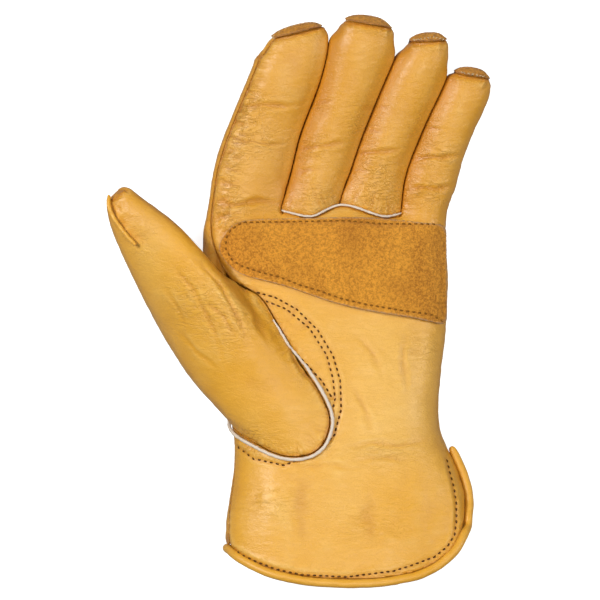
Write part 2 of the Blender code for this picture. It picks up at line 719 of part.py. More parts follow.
def thumb_angle(point, station):
    """Angle round the thumb's section that faces a point."""
    tip, _, aside = thumb_frame()
    middle, half_width, height, half_depth, roll = thumb_section(station)
    across = ((point - tip) @ aside - middle) / half_width
    return math.atan2((point[2] - height - roll * across) / half_depth, across)


def stand_off(point, surface):
    """A point of the thumb, moved out of the palm if it lies in it or too close to it."""
    hit, facing, _, away = surface.find_nearest(Vector(point))
    height = (Vector(point) - hit).dot(facing)
    if away < THUMB_NEAR and height < THUMB_CLEAR:
        point = point + np.array(facing) * (THUMB_CLEAR - height)
    return point


def build_thumb(skin):
    """The thumb's outer skin, from the mouth in the palm to its tip."""
    tip, ahead, _ = thumb_frame()
    normals = skin.normals()
    keys = [("body", c % AROUND, r) for c, r in hole_ring()]
    edge = np.array([skin.points[skin.index[key]] for key in keys])
    inward = edge.mean(axis=0) - edge
    facing = np.array([normals[skin.index[key]] for key in keys])
    inward -= facing * np.sum(inward * facing, axis=1)[:, None]
    inward /= np.linalg.norm(inward, axis=1)[:, None]
    start = edge + (inward + facing) * SEAM_GAP
    surface = BVHTree.FromPolygons([tuple(p) for p in skin.points], skin.faces)
    stations = np.clip((edge - tip) @ ahead / THUMB_LENGTH, 0.0, THUMB_REACH)
    angles = np.unwrap([thumb_angle(point, station) for point, station in zip(edge, stations)])
    count = len(keys)
    turn = math.copysign(2 * math.pi, angles[-1] - angles[0])
    for _ in range(MOUTH_TURNS):
        before = np.concatenate([[angles[-1] - turn], angles[:-1]])
        after = np.concatenate([angles[1:], [angles[0] + turn]])
        angles = (before + 2 * angles + after) / 4
    thumb = Skin()
    last = len(THUMB_STATIONS) - 1
    grid = np.zeros((len(THUMB_STATIONS), count, 3))
    for i in range(count):
        moved = start[i] - thumb_point(stations[i], angles[i])
        for j, share in enumerate(THUMB_STATIONS):
            grid[j, i] = thumb_point(stations[i] * (1 - share), angles[i]) + moved * ease(1 - share / THUMB_FADE)
    soften = np.array([ease(1 - share / SOFT_REACH) for share in THUMB_STATIONS[1:-1]])[:, None, None] / 2
    for _ in range(SOFT_TURNS):
        near = np.roll(grid, 1, 1)[1:-1] + np.roll(grid, -1, 1)[1:-1] + grid[2:] + grid[:-2]
        grid[1:-1] += (near / 4 - grid[1:-1]) * soften
        for j in range(1, last):
            grid[j] = [stand_off(point, surface) for point in grid[j]]
    for j in range(last + 1):
        for i in range(count):
            thumb.add((i, j), grid[j, i])
    end = np.mean([thumb.points[thumb.index[(i, last)]] for i in range(count)], axis=0)
    thumb.add("end", end - ahead * THUMB_DOME)
    for i in range(count):
        thumb.thin[thumb.index[(i, last)]] = TIP_THIN
    thumb.thin[thumb.index["end"]] = TIP_THICK
    for j in range(last):
        for i in range(count):
            following = (i + 1) % count
            thumb.face([(following, j), (i, j), (i, j + 1), (following, j + 1)], "thumb")
    for i in range(count):
        thumb.face([((i + 1) % count, last), (i, last), "end"], "thumb")
    return thumb


def material(name, colour, roughness):
    made = bpy.data.materials.new(name)
    made.use_nodes = True
    shader = made.node_tree.nodes["Principled BSDF"]
    shader.inputs["Base Color"].default_value = colour
    shader.inputs["Roughness"].default_value = roughness
    made.diffuse_color = colour
    return made


def place(name, points, faces, finish, collection):
    """A mesh object with its faces turned outwards."""
    mesh = bpy.data.meshes.new(name)
    mesh.from_pydata([tuple(p) for p in points], [], faces)
    work = bmesh.new()
    work.from_mesh(mesh)
    bmesh.ops.recalc_face_normals(work, faces=work.faces)
    work.to_mesh(mesh)
    work.free()
    mesh.materials.append(finish)
    mesh.shade_smooth()
    mesh.set_sharp_from_angle(angle=SHARP_ANGLE)
    made = bpy.data.objects.new(name, mesh)
    collection.objects.link(made)
    return made


def split(face, points):
    """The two triangles of a quad, along its shorter diagonal."""
    if len(face) == 3:
        return [face]
    a, b, c, d = face
    if np.linalg.norm(points[a] - points[c]) <= np.linalg.norm(points[b] - points[d]):
        return [[a, b, c], [a, c, d]]
    return [[a, b, d], [b, c, d]]


def wall(name, skin, normals, chosen, low, high, trim, finish, collection):
    """A closed wall over the chosen faces of a skin, between two heights along its normals.

    The wall's border is drawn back by trim, which leaves the gap to the piece that is sewn on there.
    """
    faces = [skin.faces[f] for f in chosen]
    used = sorted({corner for face in faces for corner in face})
    number = {corner: k for k, corner in enumerate(used)}
    points = np.array([skin.points[corner] for corner in used])
    facing = normals[used]
    edges = {}
    for face in faces:
        for a, b in zip(face, face[1:] + face[:1]):
            if (b, a) in edges:
                edges[(b, a)] = None
            else:
                edges[(a, b)] = face
    border = [edge for edge, face in edges.items() if face]
    on_border = {corner for edge in border for corner in edge}
    towards = np.zeros_like(points)
    for a, b in border:
        face = edges[(a, b)]
        centre = np.mean([skin.points[c] for c in face], axis=0)
        along = skin.points[b] - skin.points[a]
        along = along / max(np.linalg.norm(along), 1e-9)
        inward = centre - (skin.points[a] + skin.points[b]) / 2
        inward = inward - along * (inward @ along)
        inward = inward / max(np.linalg.norm(inward), 1e-9)
        for corner in (a, b):
            towards[number[corner]] += inward
    for corner in on_border:
        k = number[corner]
        towards[k] -= facing[k] * (towards[k] @ facing[k])
        towards[k] /= max(np.linalg.norm(towards[k]), 1e-9)
    points = points + towards * trim
    share = np.array([skin.thin.get(corner, 1.0) for corner in used])[:, None]
    outer, inner = points + facing * high, points + facing * low * share
    shift = len(used)
    top = [[number[c] for c in part] for face in faces for part in split(face, skin.points)]
    under = [[k + shift for k in reversed(face)] for face in top]
    rim = []
    for a, b in border:
        p, q = number[a], number[b]
        if a < b:
            rim += [[q, p, q + shift], [p, p + shift, q + shift]]
        else:
            rim += [[q, p, p + shift], [q, p + shift, q + shift]]
    return place(name, np.vstack([outer, inner]), top + under + rim, finish, collection)


def dip_seams(skin, normals):
    """Draws the skin in along every seam between two pieces."""
    around = {}
    for face, (piece, _) in zip(skin.faces, skin.pieces):
        for corner in face:
            around.setdefault(corner, set()).add(piece)
    for corner, pieces in around.items():
        if len(pieces) > 1 and skin.points[corner][2] > SEAM_DIP:
            skin.points[corner] = skin.points[corner] - normals[corner] * SEAM_DIP


def tube(name, points, radius, finish, collection, resolution=2):
    """A round strip along a line of points."""
    curve = bpy.data.curves.new(name, "CURVE")
    curve.dimensions = "3D"
    curve.bevel_depth = radius
    curve.bevel_resolution = resolution
    curve.use_fill_caps = True
    line = curve.splines.new("POLY")
    line.points.add(len(points) - 1)
    for knot, point in zip(line.points, points):
        knot.co = (*point, 1.0)
    curve.materials.append(finish)
    made = bpy.data.objects.new(name, curve)
    collection.objects.link(made)
    return made


def cuff_binding(skin, normals, finish, collection):
    """The rolled edge: down the vent's front, along the hem all the way round, and up the vent's back.

    On the hem it lies below the leather's edge, and on the vent it lies on the outside of the leather.
    """
    top = max(key[1] for key in skin.index if key[0] == "vent")
    clear = BINDING_RADIUS + SEAM_GAP
    line = []
    for r in range(top, 0, -1):
        line.append((skin.index[("body", RIGHT_SEAM, r)], skin.index[("body", RIGHT_SEAM - 1, r)], 0.0, 1.0))
    for c in range(RIGHT_SEAM, RIGHT_SEAM - AROUND - 1, -1):
        edge = ("vent", 0) if c == RIGHT_SEAM - AROUND else ("body", c % AROUND, 0)
        near = min(RIGHT_SEAM - c, c - RIGHT_SEAM + AROUND) / BINDING_TURN
        above = ("vent", 1) if edge[0] == "vent" else ("body", c % AROUND, 1)
        line.append((skin.index[edge], skin.index[above], 1.0, ease(1 - near)))
    for r in range(1, top + 1):
        line.append((skin.index[("vent", r)], skin.index[("body", RIGHT_SEAM + 1, r)], 0.0, 1.0))
    points = []
    for k, (edge, inside, beyond, outside) in enumerate(line):
        point, facing = skin.points[edge], normals[edge]
        inward = skin.points[inside] - point
        inward -= facing * (inward @ facing)
        near = [line[m][0] for m in (k - 1, k, k + 1) if 0 <= m < len(line) and line[m][2] == beyond]
        along = skin.points[near[-1]] - skin.points[near[0]]
        inward -= along * (inward @ along) / (along @ along)
        inward /= np.linalg.norm(inward)
        if beyond:
            shift = -inward * (clear + SEAM_GAP)
        else:
            half_gape = VENT_GAPE * max(0.0, 1 - body_station(point) / VENT_TOP) ** VENT_POWER
            shift = inward * max(0.0, clear + SEAM_GAP - half_gape)
        points.append(point + shift + facing * (clear + 2 * SEAM_GAP) * outside)
    points = np.array(points)
    eased = (points[:-2] + 2 * points[1:-1] + points[2:]) / 4
    for k in list(range(1, top - 1)) + list(range(len(points) - top + 1, len(points) - 1)):
        points[k] = eased[k - 1]
    points[:, 2] = np.maximum(points[:, 2], BINDING_RADIUS)
    return tube("cuff_binding", points, BINDING_RADIUS, finish, collection)


def thumb_seam_edge(skin, normals, finish, collection):
    """The pale cut edge on the palm's side of the thumb's seam, from the crease round to the back."""
    ring = hole_ring()
    first, final = ring.index((HOLE_LAST, HOLE_HIGH - 1)), ring.index((HOLE_FIRST + 3, HOLE_LOW))
    corners = [skin.index[("body", c % AROUND, r)] for c, r in ring]
    middle = np.mean([skin.points[corner] for corner in corners], axis=0)
    clear = MOUTH_EDGE_RADIUS + SEAM_GAP
    points = []
    for k in range(first, final + 1):
        point, facing = skin.points[corners[k]], normals[corners[k]]
        along = skin.points[corners[k + 1]] - skin.points[corners[k - 1]]
        inward = np.cross(facing, along)
        inward *= math.copysign(1.0, inward @ (middle - point)) / np.linalg.norm(inward)
        points.append(point + (facing - inward) * clear)
    return tube("thumb_seam_edge", points, MOUTH_EDGE_RADIUS, finish, collection, 1)


def finger_seam_edge(skin, normals, finish, collection):
    """The pale cut edge along the foot of the two middle fingers' fronts."""
    points = []
    for c in range(FINGER_FACES, 3 * FINGER_FACES + 1):
        facing = normals[skin.index[("body", c, BODY_ROWS - 1)]]
        points.append(skin.points[skin.index[("body", c, BODY_ROWS)]] + facing * FINGER_EDGE_RADIUS * 2)
    return tube("finger_seam_edge", points, FINGER_EDGE_RADIUS, finish, collection, 1)


def thumb_tip_lip(thumb, finish, collection):
    """The raised lip that closes the thumb at its tip."""
    surface = BVHTree.FromPolygons([tuple(p) for p in thumb.points], thumb.faces)
    points = []
    for station in np.linspace(TIP_LIP[0][0], TIP_LIP[-1][0], TIP_LIP_POINTS):
        wanted = thumb_point(station, math.radians(table(TIP_LIP, 1, station)))
        hit, facing, _, _ = surface.find_nearest(Vector(wanted))
        points.append(hit + facing * math.copysign(TIP_LIP_RADIUS + 3 * SEAM_GAP, facing.z))
    return tube("thumb_tip_lip", points, TIP_LIP_RADIUS, finish, collection, 1)


def body_station(point):
    return point[1] / BODY_LENGTH + WORK_STATION


def palm_patch(surface, finish, collection):
    """The suede patch across the palm, laid on the palm's skin."""
    patch = Skin()
    keys = [row[0] for row in PATCH_OUTLINE]
    spread = np.linspace(0, 1, PATCH_COLUMNS + 1)
    for c, share in enumerate(spread):
        x = keys[0] + (keys[-1] - keys[0]) * (share**PATCH_CROWD + 1 - (1 - share) ** PATCH_CROWD) / 2
        top, bottom = (BODY_LENGTH * table(PATCH_OUTLINE, k, x) for k in (1, 2))
        for r in range(PATCH_ROWS + 1):
            y = bottom + (top - bottom) * r / PATCH_ROWS
            above = Vector((x * PALM_WIDTH, y, 2 * PALM_DEPTH))
            hit, _, _, _ = surface.ray_cast(above, Vector((0, 0, -1)))
            if hit is None:
                hit, _, _, _ = surface.find_nearest(above)
            patch.add((c, r), hit)
    for c in range(PATCH_COLUMNS):
        for r in range(PATCH_ROWS):
            patch.face([(c, r), (c + 1, r), (c + 1, r + 1), (c, r + 1)], "patch")
    chosen = range(len(patch.faces))
    return wall("palm_patch", patch, patch.normals(), chosen, PATCH_LIFT, PATCH_LIFT + SUEDE, 0.0,
                finish, collection)


def centre_on_base(collection):
    """Moves the whole glove so that the origin lies under the middle of its bounding box."""
    bpy.context.view_layer.update()
    corners = np.array([corner for made in collection.objects for corner in made.bound_box])
    middle = (corners.min(axis=0) + corners.max(axis=0)) / 2
    for made in collection.objects:
        made.location = (-middle[0], -middle[1], 0.0)


def clear_scene():
    for made in list(bpy.data.objects):
        bpy.data.objects.remove(made)


def main():
    clear_scene()
    collection = bpy.data.collections.new("work_glove")
    bpy.context.scene.collection.children.link(collection)
    leather = material("grain_leather", LEATHER_COLOUR, LEATHER_ROUGHNESS)
    suede = material("suede", SUEDE_COLOUR, SUEDE_ROUGHNESS)
    cut_edge = material("cut_edge", CUT_EDGE_COLOUR, CUT_EDGE_ROUGHNESS)

    skin = build_skin()
    dip_seams(skin, skin.normals())
    normals = skin.normals()
    names = {"palm": "palm_panel", "back": "back_panel", "middle": "middle_front", "ring": "ring_front"}
    for piece, name in names.items():
        chosen = [f for f, (mark, _) in enumerate(skin.pieces) if mark == piece]
        wall(name, skin, normals, chosen, -LEATHER, 0.0, SEAM_GAP / 2, leather, collection)
    for finger in FINGERS:
        chosen = [f for f, (_, group) in enumerate(skin.pieces) if group == finger + "_tip"]
        wall(finger + "_tip", skin, normals, chosen, 2 * SEAM_GAP, 2 * SEAM_GAP + SUEDE, SEAM_GAP, suede, collection)

    thumb = build_thumb(skin)
    wall("thumb", thumb, thumb.normals(), range(len(thumb.faces)), -LEATHER, 0.0, 0.0, leather, collection)

    surface = BVHTree.FromPolygons([tuple(p) for p in skin.points], skin.faces)
    palm_patch(surface, suede, collection)
    cuff_binding(skin, normals, leather, collection)
    thumb_seam_edge(skin, normals, cut_edge, collection)
    finger_seam_edge(skin, normals, cut_edge, collection)
    thumb_tip_lip(thumb, leather, collection)
    centre_on_base(collection)


main()
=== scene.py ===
"""A leather work glove of the left hand, lying on its back with the palm up, dressed over its CAD frame."""
import math
import random

import bmesh
import bpy
import numpy as np
from mathutils import Matrix, Vector, noise
from mathutils.bvhtree import BVHTree
from mathutils.kdtree import KDTree


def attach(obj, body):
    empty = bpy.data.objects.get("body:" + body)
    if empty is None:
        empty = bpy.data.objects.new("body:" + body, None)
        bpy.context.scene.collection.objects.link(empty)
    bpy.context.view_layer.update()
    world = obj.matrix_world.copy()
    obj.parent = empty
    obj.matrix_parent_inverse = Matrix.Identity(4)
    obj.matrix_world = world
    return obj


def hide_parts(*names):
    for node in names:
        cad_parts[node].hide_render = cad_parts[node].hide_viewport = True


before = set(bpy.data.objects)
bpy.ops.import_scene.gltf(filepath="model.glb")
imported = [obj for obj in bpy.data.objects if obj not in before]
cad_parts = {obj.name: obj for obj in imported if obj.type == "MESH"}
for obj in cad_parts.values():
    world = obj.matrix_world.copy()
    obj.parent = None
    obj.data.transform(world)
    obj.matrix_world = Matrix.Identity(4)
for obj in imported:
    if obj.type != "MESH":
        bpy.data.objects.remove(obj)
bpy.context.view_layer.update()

bl_info = {
    "name": "Leather work glove",
    "version": (1, 0, 0),
    "blender": (4, 5, 0),
    "location": "View3D > Sidebar > Glove",
    "description": "Dresses the frame of a leather work glove with grain leather, suede and stitching",
    "category": "Object",
}

MM = 0.001

# Folds pressed into the palm's side, in millimetres of the frame: depth, half width, then the line in plan.
FOLDS = (
    (0.55, 1.3, (-28.4, 84.7, -17.6, 87.4, -7.2, 86.5, 1.4, 88.3)),
    (0.45, 1.0, (-31.1, 69.4, -22.1, 71.2, -13.1, 69.4, -3.1, 71.7)),
    (0.65, 1.6, (-38.2, 43.3, -29.2, 42.4, -19.4, 44.7, -9.5, 43.8)),
    (0.40, 1.2, (-39.1, 35.2, -32.9, 38.8, -24.8, 39.7)),
    (0.55, 1.2, (-2.2, 67.6, 5.0, 68.5, 13.1, 69.4, 22.1, 71.7)),
    (0.45, 1.0, (0.9, 84.7, 7.7, 88.3, 14.8, 89.2)),
    (0.45, 1.1, (-3.6, 55.9, 3.1, 58.6, 9.5, 58.2)),
    (0.60, 1.2, (20.7, 64.0, 29.2, 66.3, 38.2, 66.7, 46.8, 68.1)),
    (0.50, 1.0, (22.9, 74.8, 30.2, 76.2, 37.4, 75.7)),
    (0.45, 1.0, (26.6, 85.6, 32.9, 87.0, 40.1, 86.1)),
    (0.40, 1.0, (20.2, 55.9, 25.7, 58.6, 31.9, 57.7)),
    (0.60, 1.3, (49.5, 63.1, 57.1, 64.5, 64.4, 64.0, 72.5, 66.3)),
    (0.60, 1.3, (46.4, 49.6, 53.6, 51.0, 61.6, 50.1, 69.8, 52.3)),
    (0.40, 1.0, (51.8, 76.2, 58.1, 77.5, 64.4, 76.6)),
    (0.80, 1.9, (-36.5, 15.4, -28.4, 7.3, -20.2, -5.3, -14.0, -20.1)),
    (0.50, 1.3, (-47.2, 19.0, -35.6, 7.3, -26.6, -9.8, -22.1, -23.3)),
    (0.40, 1.2, (-58.1, 17.2, -47.2, 4.6, -38.2, -13.4, -33.8, -26.9)),
    (0.40, 1.1, (-42.8, 0.1, -33.8, -7.1, -28.4, -17.9)),
    (0.35, 1.1, (-54.5, -13.4, -45.5, -23.3, -35.6, -30.5)),
    (0.35, 1.0, (-60.8, 6.4, -54.5, -2.6, -50.0, -14.3)),
    (0.50, 1.6, (-33.8, -57.5, -25.7, -62.9, -17.6, -68.3)),
    (0.40, 1.4, (20.2, -65.6, 31.9, -63.3, 43.6, -64.7, 57.1, -62.0)),
    (0.35, 1.2, (24.8, -71.0, 36.5, -69.6, 49.1, -71.4)),
    (0.30, 1.1, (-0.5, -74.6, 13.1, -72.8, 24.8, -75.5)),
    (0.26, 4.6, (0.9, -75.5, -0.5, -89.9, 0.5, -105.6, 2.2, -116.9)),
    (0.20, 4.2, (-17.6, -76.4, -20.2, -89.9, -19.4, -103.4)),
    (0.22, 4.8, (31.9, -76.4, 30.2, -92.1, 31.9, -110.1)),
    (0.18, 4.0, (55.4, -76.4, 57.1, -92.1, 55.4, -107.9)),
    (0.30, 1.6, (22.9, -13.4, 31.9, -23.3, 37.4, -35.9)),
    (0.30, 1.8, (46.4, -13.4, 45.5, -26.9, 48.1, -43.1)),
    (0.35, 1.6, (22.9, -38.1, 29.2, -49.4, 31.1, -59.3)),
)

# Places where the leather is crinkled: strength, reach across and along, then the place in plan.
CRINKLES = (
    (0.9, 6.0, 16.0, -24.8, 82.0),
    (1.0, 5.5, 20.0, -31.1, 56.4),
    (0.7, 9.0, 7.0, -17.6, 71.2),
    (0.6, 10.0, 6.0, -17.6, 87.9),
    (0.9, 8.0, 6.0, -32.9, 37.9),
    (0.5, 10.0, 5.0, -20.7, 42.0),
    (0.7, 8.0, 7.0, 5.0, 68.5),
    (0.5, 7.0, 6.0, 6.8, 87.4),
    (0.8, 10.0, 6.0, 6.8, 46.9),
    (1.0, 9.0, 10.0, 33.8, 57.7),
    (0.9, 9.0, 7.0, 34.6, 45.1),
    (0.6, 7.0, 9.0, 27.4, 79.3),
    (1.0, 9.0, 6.0, 60.8, 64.9),
    (1.0, 10.0, 7.0, 56.2, 48.7),
    (0.6, 8.0, 7.0, 55.4, 77.5),
    (0.7, 12.0, 15.0, -47.2, 0.1),
    (0.9, 9.0, 14.0, -29.2, -8.0),
    (0.5, 8.0, 12.0, -69.8, 27.1),
    (0.7, 16.0, 6.0, 37.4, -67.4),
    (0.7, 12.0, 7.0, -24.8, -62.0),
    (0.5, 16.0, 9.0, -13.1, -89.9),
    (0.4, 18.0, 10.0, 31.9, -98.9),
    (0.5, 12.0, 8.0, 55.4, -22.4),
)

# Broad places painted paler as highlight: strength, reach across and along, then the place in plan.
PAINTED_HIGHLIGHTS = (
    (0.9, 24.0, 30.0, 43.6, -32.3),
    (0.6, 26.0, 16.0, 35.6, -62.9),
    (0.7, 9.0, 26.0, -68.0, 17.2),
    (0.4, 9.0, 14.0, -19.4, -58.4),
    (0.5, 12.0, 14.0, -11.2, -94.4),
    (0.4, 14.0, 12.0, 22.1, -89.9),
    (0.5, 5.0, 40.0, -29.2, 67.6),
    (0.4, 5.0, 14.0, -6.8, 103.6),
    (0.4, 5.0, 14.0, 29.2, 107.2),
    (0.4, 5.0, 16.0, 40.1, 84.7),
    (0.4, 5.0, 14.0, 60.8, 81.1),
)

# Places on the patch where the nap is brushed down: strength, reach across and along, then the place in plan.
BRUSHED = (
    (0.50, 4.5, 12.0, 22.9, 27.1),
    (0.45, 7.0, 6.0, 43.6, 5.5),
    (0.30, 8.0, 5.0, 61.6, 27.1),
    (0.30, 9.0, 4.0, -0.5, 12.7),
    (0.25, 6.0, 5.0, -22.9, 27.1),
)

# Lines along which the leather is gathered: depth, pitch, reach to each side, then the line in plan.
GATHERS = (
    (0.42, 2.6, 5.2, (-17.6, 107.2, -22.1, 94.6, -26.1, 81.1, -30.2, 66.7, -32.9, 52.3, -34.6, 38.8,
                      -35.6, 27.1)),
    (0.34, 3.0, 5.0, (-8.1, 42.9, 0.9, 40.6, 10.8, 44.7, 19.8, 46.9, 28.8, 44.2, 40.1, 41.5, 49.1, 45.1)),
    (0.26, 2.7, 4.4, (-13.5, -6.6, -5.9, -21.5, 5.0, -35.0, 13.1, -44.0, 9.5, -59.3, -0.5, -66.5,
                      -17.6, -67.4, -33.8, -57.5)),
    (0.24, 3.4, 3.6, (-17.6, 117.1, -5.0, 123.9, 9.5, 125.2)),
    (0.24, 3.4, 3.6, (18.4, 124.3, 31.9, 124.3, 45.5, 119.8)),
    (0.24, 3.4, 3.6, (44.6, 114.4, 55.4, 117.1, 68.0, 115.3)),
    (0.24, 3.4, 3.6, (65.2, 100.0, 76.0, 100.9, 86.0, 95.5)),
    (0.30, 2.8, 4.0, (-84.6, 49.6, -81.5, 38.8, -72.5, 24.9)),
)

# Sewn rows in plan. They lie on the piece that is named first.
ROWS = (
    ("palm_panel", (-20.2, 3.7, -11.7, 1.5, -1.8, -3.9, 7.7, -13.4, 14.4, -24.6, 17.6, -35.9, 18.0, -48.5,
                    14.8, -60.2, 5.9, -68.7, -7.7, -73.2, -21.2, -70.5, -28.8, -65.1)),
    ("palm_panel", (-16.2, 0.1, -6.3, -3.9, 4.0, -12.5, 11.7, -24.6, 14.4, -35.0, 15.3, -44.0, 13.1, -52.1,
                    9.0, -60.6)),
    ("palm_panel", (-2.2, -23.3, 4.0, -30.0, 9.5, -35.9, 14.0, -43.5)),
    ("palm_panel", (-31.1, -110.1, -25.7, -113.3, -19.4, -116.0, -10.8, -119.1, 0.5, -121.4, 19.8, -122.3,
                    41.4, -119.6, 50.4, -116.9, 59.4, -113.7, 65.2, -109.2, 68.4, -104.3, 69.3, -98.4,
                    69.3, -90.3, 68.4, -83.6, 66.6, -76.8, 65.2, -70.5)),
    ("palm_patch", (64.4, -9.8, 58.1, -6.2, 44.6, -4.4, 28.8, -1.7, 17.6, 1.0, 8.6, 4.2, -0.5, 6.9,
                    -9.5, 10.5, -18.4, 12.7, -26.6, 15.4, -31.1, 18.6, -33.3, 23.1, -33.3, 27.6,
                    -31.1, 31.6, -26.1, 34.8)),
    ("palm_patch", (63.9, 34.3, 35.6, 34.3, 19.8, 35.7, -0.5, 35.2, -26.1, 34.8)),
)

# Ends of the fingers where pale threads cross the suede, in plan.
TIP_LINES = (
    ("index_tip", (-14.8, 115.3, -8.6, 119.8, -1.4, 123.0, 9.5, 125.2)),
    ("middle_tip", (20.2, 123.9, 26.6, 125.2, 35.6, 125.2, 44.1, 122.1)),
    ("ring_tip", (45.5, 114.4, 51.8, 117.1, 59.0, 118.5, 66.6, 117.6)),
    ("little_tip", (67.0, 100.9, 72.5, 102.7, 78.8, 102.3, 84.6, 98.7)),
)

# The raw edge of the thumb's seam where it comes out of the crease, in plan.
THUMB_CREASE = (-12.6, -8.0, -9.5, -12.9, -5.9, -19.2, -1.8, -24.2, 1.8, -28.7)

FRONT_PIECES = ("palm_panel", "middle_front", "ring_front")
PANELS = FRONT_PIECES + ("back_panel",)
EDGE_PIECES = ("thumb_seam_edge", "finger_seam_edge")
SUEDE_PIECES = ("palm_patch", "index_tip", "middle_tip", "ring_tip", "little_tip")

# The frame's walls: how near corners are joined, how far a wall turns at its cut edge, and how thick suede is.
WELD = 0.02 * MM
RIM_TURN = math.radians(48)
SUEDE_THICKNESS = 1.3 * MM

# The dressed pieces: sharpest edge that is shaded smooth, share of the inner faces kept, and height off the floor.
SMOOTH_TURN = math.radians(50)
INSIDE_KEPT = 0.22
CLEAR_OF_FLOOR = 0.15 * MM

# Folds: least half width in millimetres, share of the table's half width, share of the length that each end
# tapers over, and how many half widths off and how high the banks stand.
FOLD_LEAST, FOLD_SHARE = 0.75, 0.72
FOLD_TAPER = 0.30
BANK_AWAY, BANK_RISE = 2.1, 0.45

# Sewn rows: depth and width of the groove, then rise, width and distance of its banks.
GROOVE_DEPTH, GROOVE_WIDTH = 0.34 * MM, 0.75 * MM
GROOVE_BANK, GROOVE_BANK_WIDTH, GROOVE_BANK_AWAY = 0.16 * MM, 0.8 * MM, 1.7 * MM

# Seams: width of the dip, rise, width and distance of the swelling beside it, and height, size and reach of the
# puckers that cross it.
SEAM_WIDTH = 0.9 * MM
SEAM_BANK, SEAM_BANK_WIDTH, SEAM_BANK_AWAY = 0.22 * MM, 1.3 * MM, 2.4 * MM
PUCKER, PUCKER_SIZE, PUCKER_REACH = 0.28 * MM, 2.4 * MM, 4.5 * MM

# Gaps between the fingers: the widest that is looked at, the gap that is left, the step past a face that a
# ray has met, how often the swelling is evened out, and where the fingers begin in Y and in X.
WIDEST_GAP = 7 * MM
GAP_LEFT = 0.12 * MM
STEP_ON = 0.02 * MM
EVENINGS = 22
KNUCKLES, THUMB_SIDE = 12 * MM, -45 * MM

# Raw edges: height and size of their lumps. Binding: the farthest that its middle lies from the edge it binds.
EDGE_RELIEF, EDGE_LUMPS = 0.22 * MM, 1.0 * MM
BINDING_REACH = 2.1 * MM

# Threads at the fingertips: from one to the next, their size as shares of a stitch, and the height from which
# the nearest place on the suede is looked for.
TIP_PITCH = 1.5 * MM
TIP_THREAD = (0.8, 0.55, 0.55)
TIP_HEIGHT = 36 * MM

# Lights: name, place and width in metres, and power.
LIGHTS = (
    ("key", (-0.95, 0.45, 1.15), 0.36, 15.2),
    ("top", (0.30, -0.15, 1.70), 0.50, 7.9),
    ("side", (1.05, 0.10, 0.70), 0.35, 4.0),
)

# Where the camera stands in plan, and the height in the glove from which its own height is counted.
CAMERA_PLACE = (-0.3 * MM, 0.2 * MM)
MIDDLE_HEIGHT = 22 * MM


class GloveLeather(bpy.types.PropertyGroup):
    main: bpy.props.FloatVectorProperty(
        name="Leather", description="Colour of the grain leather", subtype="COLOR", size=4,
        min=0.0, max=1.0, default=(0.81, 0.395, 0.026, 1.0))
    # Deeper colour toward which the leather is painted: painted shade in folds, crinkles, seam dips and between the
    # fingers, and the darker grain.
    deep: bpy.props.FloatVectorProperty(
        name="Folds", description="Deeper colour in folds and beside seams", subtype="COLOR", size=4,
        min=0.0, max=1.0, default=(0.47, 0.145, 0.003, 1.0))
    # Paler colour for the hide's drifting tone and for the painted highlights on fold ridges and on the broad
    # places that face the light.
    pale: bpy.props.FloatVectorProperty(
        name="Pale tone and painted highlight", description="Paler colour where the leather is stretched or rubbed", subtype="COLOR", size=4,
        min=0.0, max=1.0, default=(0.94, 0.61, 0.17, 1.0))
    grain: bpy.props.FloatProperty(
        name="Grain", description="Width of one pebble of the grain", unit="LENGTH", default=0.85 * MM)
    levels: bpy.props.IntProperty(
        name="Levels", description="How often each face of the frame is halved", default=3, min=1, max=3)
    thickness: bpy.props.FloatProperty(
        name="Thickness", description="Thickness of the frame's leather", unit="LENGTH", default=1.5 * MM)
    seam_dip: bpy.props.FloatProperty(
        name="Seam dip", description="How far a seam draws the leather in", unit="LENGTH", default=0.45 * MM)
    unrest: bpy.props.FloatProperty(
        name="Unevenness", description="Height of the soft hollows between the folds", unit="LENGTH",
        default=0.55 * MM)


class GloveSuede(bpy.types.PropertyGroup):
    main: bpy.props.FloatVectorProperty(
        name="Suede", description="Colour of the suede", subtype="COLOR", size=4,
        min=0.0, max=1.0, default=(0.60, 0.255, 0.026, 1.0))
    # Colour of flattened nap, also used for the painted shade along the patch's sewn grooves.
    deep: bpy.props.FloatVectorProperty(
        name="Brushed down", description="Colour where the nap lies flat", subtype="COLOR", size=4,
        min=0.0, max=1.0, default=(0.34, 0.115, 0.010, 1.0))
    cut_edge: bpy.props.FloatVectorProperty(
        name="Cut edge", description="Colour of the raw edges of the hide", subtype="COLOR", size=4,
        min=0.0, max=1.0, default=(0.43, 0.335, 0.225, 1.0))
    nap: bpy.props.FloatProperty(
        name="Nap", description="Height of the suede's nap", unit="LENGTH", default=0.16 * MM)


class GloveSewing(bpy.types.PropertyGroup):
    pitch: bpy.props.FloatProperty(
        name="Pitch", description="From one stitch to the next", unit="LENGTH", default=2.7 * MM)
    length: bpy.props.FloatProperty(
        name="Stitch", description="Length of a stitch that shows", unit="LENGTH", default=1.9 * MM)
    thread: bpy.props.FloatProperty(
        name="Thread", description="Radius of the thread", unit="LENGTH", default=0.40 * MM)
    dark: bpy.props.FloatVectorProperty(
        name="Dark thread", description="Colour of the sewing thread", subtype="COLOR", size=4,
        min=0.0, max=1.0, default=(0.13, 0.052, 0.012, 1.0))
    light: bpy.props.FloatVectorProperty(
        name="Pale thread", description="Colour of the threads at the fingertips", subtype="COLOR", size=4,
        min=0.0, max=1.0, default=(0.78, 0.58, 0.32, 1.0))


